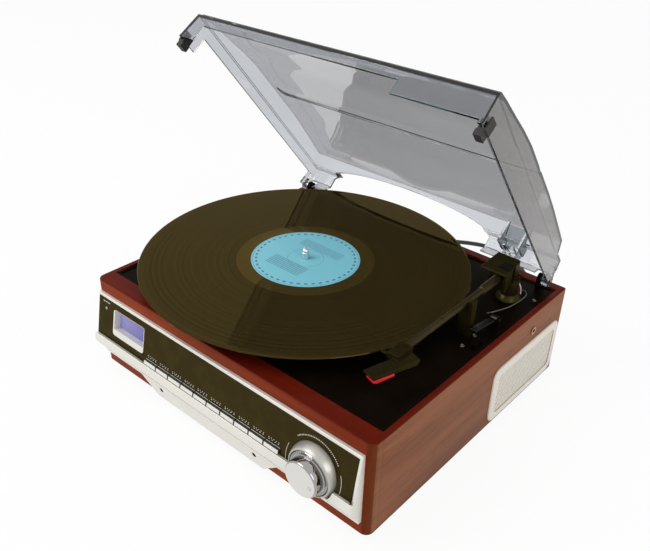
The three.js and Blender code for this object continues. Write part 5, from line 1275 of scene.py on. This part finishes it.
def screw_part(radius):
    """A pan head with a cross recess, standing on local Z."""
    work = bmesh.new()
    sides = 16

    def ring(reach, height):
        """The corners at a height, the first one in four at its own reach."""
        done = []
        for k in range(sides):
            angle, out = TURN * k / sides, radius * reach[bool(k % 4)]
            done.append(work.verts.new((out * math.cos(angle), out * math.sin(angle), radius * height)))
        return done

    head = ((1.0, 0.0), (0.97, 0.25), (0.8, 0.45), (0.55, 0.55))
    rings = [ring((reach, reach), height) for reach, height in head]
    rings.append(ring((0.46, 0.16), 0.2))
    for lower, upper in zip(rings, rings[1:]):
        bridge(work, lower, upper)
    work.faces.new(list(reversed(rings[0])))
    work.faces.new(rings[-1])
    return bpy.data.objects.new("screw", mesh_of(work, Matrix.Identity(4), 30))


def screws(spots, material, radius, down=False):
    """Screw heads at the given points, facing up or down."""
    part = screw_part(radius)
    if down:
        part.data.transform(Matrix.Rotation(math.pi, 4, "X"))
    mesh = scatter_growth().grow(points_mesh(spots), material, Part=part)
    bpy.data.objects.remove(part)
    return smoothed(mesh, 30)


class MakeFront(bpy.types.Operator):
    """Make the silver front, the black panel, its printed marks and the lamp"""

    bl_idname = "player.make_front"
    bl_label = "Front"

    def execute(self, context):
        player = context.scene.record_player
        silver = lacquer("silver_front", tuple(player.silver.silver), metallic=0.35, roughness=0.34)
        dressed("front_fascia", silver, bevel=0.4, segments=3)
        dressed("control_panel", polished_black(player.black), bevel=0.25)
        self.make_marks(player.dial)
        dressed("power_led", lens(), bevel=0.2)
        self.make_sockets()
        return {"FINISHED"}

    def make_sockets(self):
        """The black linings of the two round sockets under the keys."""
        black = moulding("socket_black", (0.006, 0.006, 0.005), roughness=0.3, bump=0.2, sheen=0.0)
        back = low("cabinet").y - SOCKET_BACK
        profile = [(0, 0), (0.00236, 0), (0.00236, 0.0026), (0.0021, 0.0029), (0.0016, 0.0029)]
        profile += [(0.0014, 0.0026), (0.0014, 0.0005), (0, 0.0005)]
        for name, side in (("socket_lining_left", -1), ("socket_lining_right", 1)):
            centre = (SOCKET_MIDDLE + side * SOCKET_SPACING / 2, back, SOCKET_HEIGHT)
            piece(name, turned(profile, centre, FRONT, 32), black, "player", "black_plastic")

    def make_marks(self, look):
        """Printed rules under the keys and the lamp, and arcs and ticks round the dial."""
        place, run = panel_matrix()
        ink = printed_ink(look)
        thin = 0.00012
        rows = []

        def row(count, step, wide, tall, across, down):
            sizes = {"Count": count, "Step": (step, 0, 0), "Block": (wide, tall, thin)}
            made = row_growth().grow(points_mesh(), ink, **sizes)
            rows.append(moved(made, Matrix.Translation((across, down, 0))))

        keys, share = 10, 0.8
        pitch = middle("key_2").x - middle("key_1").x
        first, down = low("key_1").x - place.translation.x, run - 0.0056
        row(keys, pitch, pitch - 0.0012, 0.0004, first + pitch * 0.5, down)
        for per_key, wide, drop in ((4, 0.0011, 0.0026), (5, 0.0007, 0.0040)):
            step = pitch * share / per_key
            for key in range(keys):
                across = first + key * pitch + (pitch * 0.12 + step / 2)
                row(per_key, step, wide, 0.00055, across, down - drop)
        lamp = place.inverted() @ middle("power_led")
        row(3, 0.0035, 0.0028, 0.0007, lamp.x - 0.0035, lamp.y - 0.0062)
        dial = place.inverted() @ Vector(joint("dial_turn")["pos_m"])
        centre = Matrix.Translation((dial.x, dial.y, 0))
        for start, sweep in ((159, 34), (-11, 33)):
            angles = [math.radians(-(start + sweep * k / 12)) for k in range(13)]
            arc = [Vector((math.cos(angle), math.sin(angle), 0)) * look.scale_radius for angle in angles]
            line = tube_growth().grow(path_curve(arc), ink, Radius=0.00022, Sides=6)
            rows.append(moved(line, centre))
        scale = arc_growth().grow(
            points_mesh(), ink, Count=30, Radius=look.scale_radius, Start=math.radians(-38),
            Step=-math.radians(94 / 29), Block=(0.0011, 0.0006, thin),
        )
        rows.append(moved(scale, centre))
        piece("printed_marks", moved(merged(*rows), place), ink, "player", "white_plastic")


class MakeDisplay(bpy.types.Operator):
    """Make the display's silver surround and its window"""

    bl_idname = "player.make_display"
    bl_label = "Display"

    def execute(self, context):
        silver = tuple(context.scene.record_player.silver.silver)
        window, wide, tall, deep = slope_box("display_screen")
        rise = 0.0016
        frame_finish = lacquer("display_surround", silver, metallic=0.3, roughness=0.34)
        self.make_surround(frame_finish, window, wide, tall, deep / 2 + rise)
        under = window @ Matrix.Translation((0, 0, -deep / 2))
        pane = prism(rounded_box(wide, tall, 0.0004, 2), deep + rise, under)
        piece("display_screen_piece", pane, display_window(), "player", "screen", "display_screen")
        return {"FINISHED"}

    def make_surround(self, silver, window, window_wide, window_tall, window_front):
        """A rounded frame whose sides slope down to the window's face, over its edge."""
        place, wide, tall, deep = slope_box("display_bezel")
        hidden = 0.0006
        centre = place.inverted() @ window.translation
        glass = centre.z + window_front
        outer = rounded_box(wide, tall, 0.003)
        brow = rounded_box(wide - 0.0018, tall - 0.0018, 0.0026)
        seat = rounded_box(window_wide - 2 * hidden, window_tall - 2 * hidden, 0.001)
        neck = [point + centre.xy for point in shrunk(seat, -0.0004)]
        seat = [point + centre.xy for point in seat]
        front, back = deep / 2, -deep / 2
        levels = [
            (outer, back), (outer, front - 0.0003), (shrunk(outer, 0.0001), front - 0.0001),
            (shrunk(outer, 0.0003), front), (shrunk(brow, -0.0003), front),
            (brow, front - 0.0003), (seat, glass), (neck, glass), (neck, back),
        ]
        mesh = ringed(levels, place)
        piece("display_bezel_piece", mesh, silver, "player", "silver_plastic", "display_bezel")


class MakeKeys(bpy.types.Operator):
    """Make the ten keys and the board behind them"""

    bl_idname = "player.make_keys"
    bl_label = "Keys"

    def execute(self, context):
        silver = key_silver(context.scene.record_player.silver.silver)
        for number in range(1, 11):
            dressed(f"key_{number}", silver, bevel=0.35, segments=3)
        painted("key_board", circuit_board())
        return {"FINISHED"}


class MakeDial(bpy.types.Operator):
    """Make the volume dial: the silver mound, its ring of ticks, the knob and its shaft"""

    bl_idname = "player.make_dial"
    bl_label = "Dial"

    def execute(self, context):
        player = context.scene.record_player
        centre = Vector(joint("dial_turn")["pos_m"])
        # Painted shade: the mound is a darker copy of the front's silver, standing in for the shade on it.
        silver = dimmed(player.silver.silver, 0.62)
        self.make_mound(centre, lacquer("dial_silver", silver, metallic=0.6, roughness=0.3))
        self.make_knob(player.dial, centre)
        painted("volume_shaft", bright_metal("shaft_steel", (0.6, 0.6, 0.6), roughness=0.2))
        painted("volume_encoder", bright_metal("encoder_steel", (0.5, 0.5, 0.5), roughness=0.3))
        return {"FINISHED"}

    def make_mound(self, centre, silver):
        back, reach = high("dial_collar").y, (high("dial_collar") - low("dial_collar")).y
        outer, bore = half_width("dial_collar"), half_width("volume_knob") + 0.0005
        profile = [(bore, 0), (outer, 0), (outer, reach * 0.35), (outer - 0.0008, reach * 0.62)]
        profile += [(outer - 0.0016, reach * 0.85), (outer - 0.0022, reach * 0.95)]
        profile += [(outer - 0.0029, reach), (bore + 0.0004, reach), (bore, reach - 0.0004)]
        mesh = turned(profile, (centre.x, back, centre.z), FRONT, 128)
        piece("dial_collar_piece", mesh, silver, "player", "silver_plastic", "dial_collar")

    def make_knob(self, look, centre):
        """The stepped knob, the ticks and dark gap round its skirt and the dot on its face."""
        front, back = low("volume_knob").y, Vector((centre.x, high("volume_knob").y, centre.z))
        tall, step, skirt = back.y - front, 0.003, half_width("volume_knob")
        barrel = skirt - 0.0032
        profile = [(0, 0), (skirt - 0.0003, 0), (skirt, 0.0003), (skirt, step - 0.0005)]
        profile += [(skirt - 0.0004, step), (barrel + 0.0006, step), (barrel, step + 0.0006)]
        edge = ((0, 0.0022), (0.0002, 0.0012), (0.0008, 0.0005), (0.0018, 0.0001), (0.0030, 0))
        profile += [(barrel - inset, tall - drop) for inset, drop in edge] + [(0, tall)]
        chrome = knob_chrome((centre.x, front, centre.z), barrel)
        mesh = turned(profile, back, FRONT, 128)
        piece("volume_knob_piece", mesh, chrome, "dial", "chrome", "volume_knob")
        dark = moulding("tick_black", (0.03, 0.03, 0.03), roughness=0.4, grain=1200.0)
        ticks = arc_growth().grow(
            points_mesh(), dark, Count=look.ticks, Radius=skirt - 0.0014, Start=0.0,
            Step=TURN / look.ticks, Block=(0.0012, 0.0003, 0.0001),
        )
        place = frame_matrix(RIGHT, UP, FRONT, back + FRONT * step)
        gap = [(skirt + 0.0001, step - 0.0012), (skirt + 0.0004, step - 0.0012)]
        gap += [(skirt + 0.0004, step - 0.0006), (skirt + 0.0001, step - 0.0006)]
        ring = turned(gap, back, FRONT, 96)
        piece("dial_ticks", merged(moved(ticks, place), ring), dark, "dial", "black_plastic")
        thin = 0.00012
        dot = [(0.0011, 0), (0.0014, 0), (0.0014, thin), (0.0011, thin)]
        spot = (centre.x + barrel * 0.62, front + thin, centre.z - barrel * 0.1)
        piece("knob_dot", turned(dot, spot, FRONT, 24), dark, "dial", "black_plastic")


class MakeSpeakers(bpy.types.Operator):
    """Make the perforated grilles, the loudspeakers and the side socket"""

    bl_idname = "player.make_speakers"
    bl_label = "Loudspeakers"

    def execute(self, context):
        player = context.scene.record_player
        pale = tuple(player.silver.cream)
        cream = lacquer("grille_cream", pale, metallic=0.05, roughness=0.38, grain=1800.0)
        for node, out in (("grille_right", 1), ("grille_left", -1)):
            self.make_grille(node, out, cream, player.grille)
        for node in ("speaker_right", "speaker_left"):
            painted(node, speaker_cone(node))
        painted("side_socket", bright_metal("socket_brass", (0.36, 0.2, 0.1), roughness=0.25))
        return {"FINISHED"}

    def make_grille(self, node, out, cream, look):
        """A raised frame round a perforated panel, both with rounded corners."""
        base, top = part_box(node)
        rise, wide, tall = top - base
        centre = Vector((base.x if out > 0 else top.x, middle(node).y, middle(node).z))
        place = frame_matrix(Vector((0, out, 0)), UP, RIGHT * out, centre)
        rim, corner, overlap = 0.0065, 0.006, 0.001
        opening, height = wide - 2 * rim, tall - 2 * rim
        outer, inner = rounded_box(wide, tall, 0.011), rounded_box(opening, height, corner)
        levels = [
            (outer, 0.0), (outer, rise - 0.0008), (shrunk(outer, 0.0003), rise - 0.0003),
            (shrunk(outer, 0.0009), rise), (shrunk(inner, -0.0012), rise),
            (shrunk(inner, -0.0003), rise - 0.0002), (inner, rise - 0.0006), (inner, 0.0),
        ]
        piece(node + "_frame", ringed(levels, place), cream, "player", "white_plastic", node)
        columns = int((opening - 0.005) / look.pitch)
        rows = int((height - 0.004) / (look.pitch * ROW_SHARE))
        edge = [(p[0], p[1], 0) for p in rounded_box(opening + overlap, height + overlap, corner)]
        plate = perforated_growth().grow(
            path_curve(edge, True), cream, Pitch=look.pitch, Columns=columns, Rows=rows,
            Hole=look.hole, Thickness=0.0007,
        )
        sheet = moved(plate, place @ Matrix.Translation((0, 0, 0.0001)))
        piece(node + "_mesh", sheet, cream, "player", "white_plastic")


# Deck, platter and record


class MakeDeck(bpy.types.Operator):
    """Make the black deck, its screws, wires and the drive below it"""

    bl_idname = "player.make_deck"
    bl_label = "Deck"

    def execute(self, context):
        black = tuple(context.scene.record_player.black.deck)
        plastic = moulding("deck_black", black, roughness=0.34, grain=1400.0, sheen=0.15)
        dressed("deck_plate", plastic, bevel=0.25)
        steel = bright_metal("deck_screw_steel", (0.12, 0.11, 0.09), roughness=0.3)
        pivot = Vector(joint("tonearm_swing")["pos_m"])
        offsets = ((0.009, -0.0695), (0.0094, -0.0885), (-0.012, 0.026), (0.019, 0.014))
        spots = [(pivot.x + x, pivot.y + y, DECK_TOP) for x, y in offsets]
        piece("deck_screws", screws(spots, steel, radius=0.0021), steel, "player", "steel")
        self.make_wires(Vector((pivot.x, pivot.y, DECK_TOP)))
        painted("motor", bright_metal("motor_steel", (0.5, 0.5, 0.5), roughness=0.3))
        painted("motor_pulley", bright_metal("pulley_brass", (0.72, 0.52, 0.22), roughness=0.15))
        painted("drive_belt", rubber("belt_rubber"))
        painted("spindle_bearing", bright_metal("bearing_brass", (0.7, 0.5, 0.22), roughness=0.2))
        return {"FINISHED"}

    def make_wires(self, origin):
        """The thin earth wire round the arm's base and the two signal wires behind it."""
        tube = tube_growth()
        earth = [
            (-0.0008, -0.0340, 0.0010), (0.0021, -0.0325, 0.0022), (0.0065, -0.0245, 0.003),
            (0.0101, -0.0135, 0.003), (0.0118, 0.0013, 0.003), (0.0105, 0.0151, 0.0026),
            (0.0052, 0.0205, 0.002), (0.0, 0.0200, 0.0008),
        ]
        red = [
            (0.0058, 0.0085, 0.0045), (0.0055, 0.0090, 0.009),
            (0.0045, 0.0095, 0.0135), (0.0025, 0.0085, 0.017),
        ]
        white = [
            (0.0078, 0.0082, 0.005), (0.0075, 0.0084, 0.008),
            (0.0066, 0.0084, 0.012), (0.0040, 0.0080, 0.016),
        ]
        for name, colour_value, radius, points in (
            ("earth_wire", (0.17, 0.15, 0.10), 0.00042, earth),
            ("red_wire", (0.16, 0.012, 0.008), 0.0011, red),
            ("white_wire", (0.8, 0.79, 0.76), 0.0005, white),
        ):
            sleeve = coloured_wire(name + "_sleeve", colour_value)
            line = passing_through([origin + Vector(point) for point in points])
            mesh = smoothed(tube.grow(path_curve(line), sleeve, Radius=radius, Sides=8))
            piece(name, mesh, sleeve, "player", "rubber")


class MakePlatter(bpy.types.Operator):
    """Make the platter and its rubber mat"""

    bl_idname = "player.make_platter"
    bl_label = "Platter"

    def execute(self, context):
        black = tuple(context.scene.record_player.black.deck)
        plastic = moulding("platter_black", black, roughness=0.3, grain=1300.0)
        dressed("platter", plastic, bevel=0.4, segments=3)
        base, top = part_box("slip_mat")
        radius, bore, ribs = half_width("slip_mat"), 0.0045, 11
        profile = [(bore, base.z), (radius, base.z), (radius, top.z - 0.0004), (radius - 0.0005, top.z)]
        for rib in range(ribs):
            place = radius - 0.004 - (radius - 0.04) * rib / ribs
            groove = ((0, 0), (0.0004, 0.0005), (0.0016, 0.0005), (0.0020, 0))
            profile += [(place - inset, top.z - depth) for inset, depth in groove]
        profile += [(bore, top.z)]
        mesh = turned(profile, axis_of("slip_mat"), UP, 128)
        piece("slip_mat_piece", mesh, rubber("mat_rubber"), "turntable", "rubber", "slip_mat")
        return {"FINISHED"}


class MakeRecord(bpy.types.Operator):
    """Make the record, its plain label and the spindle"""

    bl_idname = "player.make_record"
    bl_label = "Record"

    def execute(self, context):
        look = context.scene.record_player.record
        self.make_vinyl(look)
        self.make_label(look)
        self.make_spindle()
        return {"FINISHED"}

    def make_vinyl(self, look):
        """The disc: an edge bead, recorded bands, the dead wax and the label's raised seat."""
        base, top = low("record").z, high("record").z
        outer, label = half_width("record"), half_width("record_label")
        seat, sunk = label + 0.0006, top - 0.00025
        first, last = outer - RECORD_EDGE, label + DEAD_WAX
        profile = [(RECORD_BORE, base), (outer - 0.0012, base), (outer - 0.0003, base + 0.0004)]
        profile += [(outer, base + 0.0009), (outer - 0.0003, top - 0.0004), (outer - 0.0012, top)]
        profile += [(outer - 0.0028, top), (first + 0.0004, sunk)]
        step = (first - last) / look.bands
        profile += [(first - band * step, sunk) for band in range(look.bands)]
        profile += [(last, sunk), (seat + 0.0024, sunk), (seat + 0.0012, top), (RECORD_BORE, top)]
        mesh = turned(profile, axis_of("record"), UP, 256)
        piece("record_piece", mesh, vinyl(look), "turntable", "vinyl", "record")

    def make_label(self, look):
        base, top, radius = low("record_label").z, high("record_label").z, half_width("record_label")
        profile = [(RECORD_BORE, base), (radius, base), (radius - 0.0002, top), (RECORD_BORE, top)]
        mesh = turned(profile, axis_of("record_label"), UP, 128)
        piece("record_label_piece", mesh, label_paper(look), "turntable", "label_paper", "record_label")

    def make_spindle(self):
        """The bright pin, with its domed tip and a neck groove."""
        base, top, collar = low("spindle").z, high("spindle").z, half_width("spindle")
        pin, neck = 0.0035, 0.0031
        shoulder = high("spindle_bearing").z + 0.0003
        seat = shoulder + 0.002
        profile = [(0, base), (pin - 0.0004, base), (pin, base + 0.0004), (pin, shoulder)]
        profile += [(collar, shoulder), (collar, seat), (pin, seat), (pin, top - 0.0042)]
        profile += [(neck, top - 0.0038), (neck, top - 0.0032), (pin - 0.0003, top - 0.0026)]
        profile += [(pin * 0.75, top - 0.0011), (pin * 0.45, top - 0.0003), (0, top)]
        silver, lines = (0.85, 0.85, 0.84), (1200.0, 1200.0, 40.0)
        chrome = bright_metal("spindle_chrome", silver, roughness=0.06, brushed=0.2, scale=lines)
        mesh = turned(profile, axis_of("spindle"), UP, 64)
        piece("spindle_piece", mesh, chrome, "turntable", "chrome", "spindle")


# Tonearm and lid


class MakeTonearm(bpy.types.Operator):
    """Make the tonearm's base, hood, tube, head and stylus"""

    bl_idname = "player.make_tonearm"
    bl_label = "Tonearm"

    def execute(self, context):
        black = tuple(context.scene.record_player.black.arm)
        satin = moulding("arm_black", black, roughness=0.3, grain=1300.0, bump=0.2)
        self.make_base(moulding("arm_base_black", dimmed(black, 1.6), roughness=0.3, grain=1300.0))
        for node, bevel in (("tonearm_hood", 0.45), ("headshell", 0.4), ("arm_rest", 0.35)):
            dressed(node, satin, bevel=bevel, segments=3)
        tube = moulding("tube_black", (0.040, 0.032, 0.016), roughness=0.22, grain=1100.0, bump=0.1)
        dressed("tonearm_tube", tube, bevel=0.3, segments=3, angle=40)
        dressed("stylus", red_moulding(), bevel=0.3, segments=3)
        self.make_hood_plate()
        return {"FINISHED"}

    def make_base(self, material):
        """The flanged socket on the deck and the pin that the arm swings on."""
        base, top = low("tonearm_base").z, high("tonearm_base").z
        pivot = joint("tonearm_swing")["pos_m"]
        flange, body, pin, rise = half_width("tonearm_base"), 0.0085, 0.003, 0.008
        foot = ((0.0026, 0), (0.0022, 0.0006), (0.0004, 0.0018), (0, 0.0028), (0.0003, 0.0036))
        profile = [(0, base), (0.005, base), (0.005, DECK_TOP - 0.0001)]
        profile += [(flange - inset, DECK_TOP + height) for inset, height in (*foot, (0.0014, 0.0052))]
        shoulder = ((0, 0.0012), (0.0008, 0.0004), (0.0016, 0))
        profile += [(body - inset, DECK_TOP + rise - drop) for inset, drop in shoulder]
        profile += [(pin, DECK_TOP + rise), (pin, top - 0.0003), (pin - 0.0003, top), (0, top)]
        mesh = turned(profile, (pivot[0], pivot[1], 0), UP, 72)
        piece("tonearm_base_piece", mesh, material, "player", "black_plastic", "tonearm_base")

    def make_hood_plate(self):
        """The square plate set in the hood's top."""
        place = Matrix.Translation((0.1382, 0.0862, high("tonearm_hood").z - 0.0003))
        plate = prism(rounded_box(0.0105, 0.0125, 0.0012, 4), 0.0005, place)
        black = moulding("hood_plate_black", (0.01, 0.01, 0.01), roughness=0.16, grain=1800.0, bump=0.1)
        piece("hood_plate", plate, black, "arm_head", "gloss_black")


class MakeDeckControls(bpy.types.Operator):
    """Make the cue lever and the speed switch"""

    bl_idname = "player.make_deck_controls"
    bl_label = "Deck controls"

    def execute(self, context):
        dressed("cue_lever", bright_metal("lever_steel", (0.055, 0.05, 0.04), roughness=0.3), bevel=0.25)
        black = tuple(context.scene.record_player.black.deck)
        plastic = moulding("switch_black", black, roughness=0.3, grain=1300.0)
        dressed("speed_switch", plastic, bevel=0.35, segments=3)
        return {"FINISHED"}


class MakeLid(bpy.types.Operator):
    """Make the smoked lid, its bracket, hinge base and rubber clips"""

    bl_idname = "player.make_lid"
    bl_label = "Lid"

    def execute(self, context):
        look = context.scene.record_player.lid
        dressed("lid", smoked(look), bevel=look.edge / MM, segments=2, angle=25, smooth=9)
        plate = bright_metal("bracket_plate", (0.42, 0.44, 0.45), roughness=0.14)
        dressed("lid_bracket", plate, bevel=0.25)
        dressed("hinge_base", moulding("hinge_black", (0.036, 0.031, 0.014), roughness=0.35), bevel=0.25)
        clip = rubber("clip_rubber", (0.014, 0.013, 0.011))
        for node in ("bumper_left", "bumper_right"):
            dressed(node, clip)
        return {"FINISHED"}


class MakeInside(bpy.types.Operator):
    """Finish the electronics inside the cabinet"""

    bl_idname = "player.make_inside"
    bl_label = "Inside"

    def execute(self, context):
        painted("main_board", circuit_board())
        grey, lines = (0.35, 0.34, 0.33), (900.0, 30.0, 30.0)
        core = bright_metal("core_steel", grey, roughness=0.45, brushed=0.6, scale=lines)
        painted("transformer", core)
        return {"FINISHED"}


STEPS = (
    MakeStage, MakeCord, MakeCabinet, MakeUnderside, MakeFront, MakeDisplay, MakeKeys, MakeDial,
    MakeSpeakers, MakeDeck, MakePlatter, MakeRecord, MakeTonearm, MakeDeckControls, MakeLid, MakeInside,
)


class PlayerPanel(bpy.types.Panel):
    """The record player's pieces, in the order that they are made"""

    bl_idname = "VIEW3D_PT_record_player"
    bl_label = "Record Player"
    bl_space_type = "VIEW_3D"
    bl_region_type = "UI"
    bl_category = "Record Player"

    def draw(self, context):
        for step in STEPS:
            self.layout.operator(step.bl_idname)


CLASSES = (
    StageSettings, VeneerSettings, SilverSettings, BlackSettings, RecordSettings, LidSettings,
    DialSettings, GrilleSettings, CordSettings, PlayerSettings, *STEPS, PlayerPanel,
)


def register():
    for item in CLASSES:
        bpy.utils.register_class(item)
    bpy.types.Scene.record_player = PointerProperty(type=PlayerSettings)


def unregister():
    del bpy.types.Scene.record_player
    for item in reversed(CLASSES):
        bpy.utils.unregister_class(item)


def make_player():
    """Makes every piece in order."""
    register()
    for step in STEPS:
        group_name, name = step.bl_idname.split(".")
        getattr(getattr(bpy.ops, group_name), name)()


if __name__ == "__main__":
    make_player()
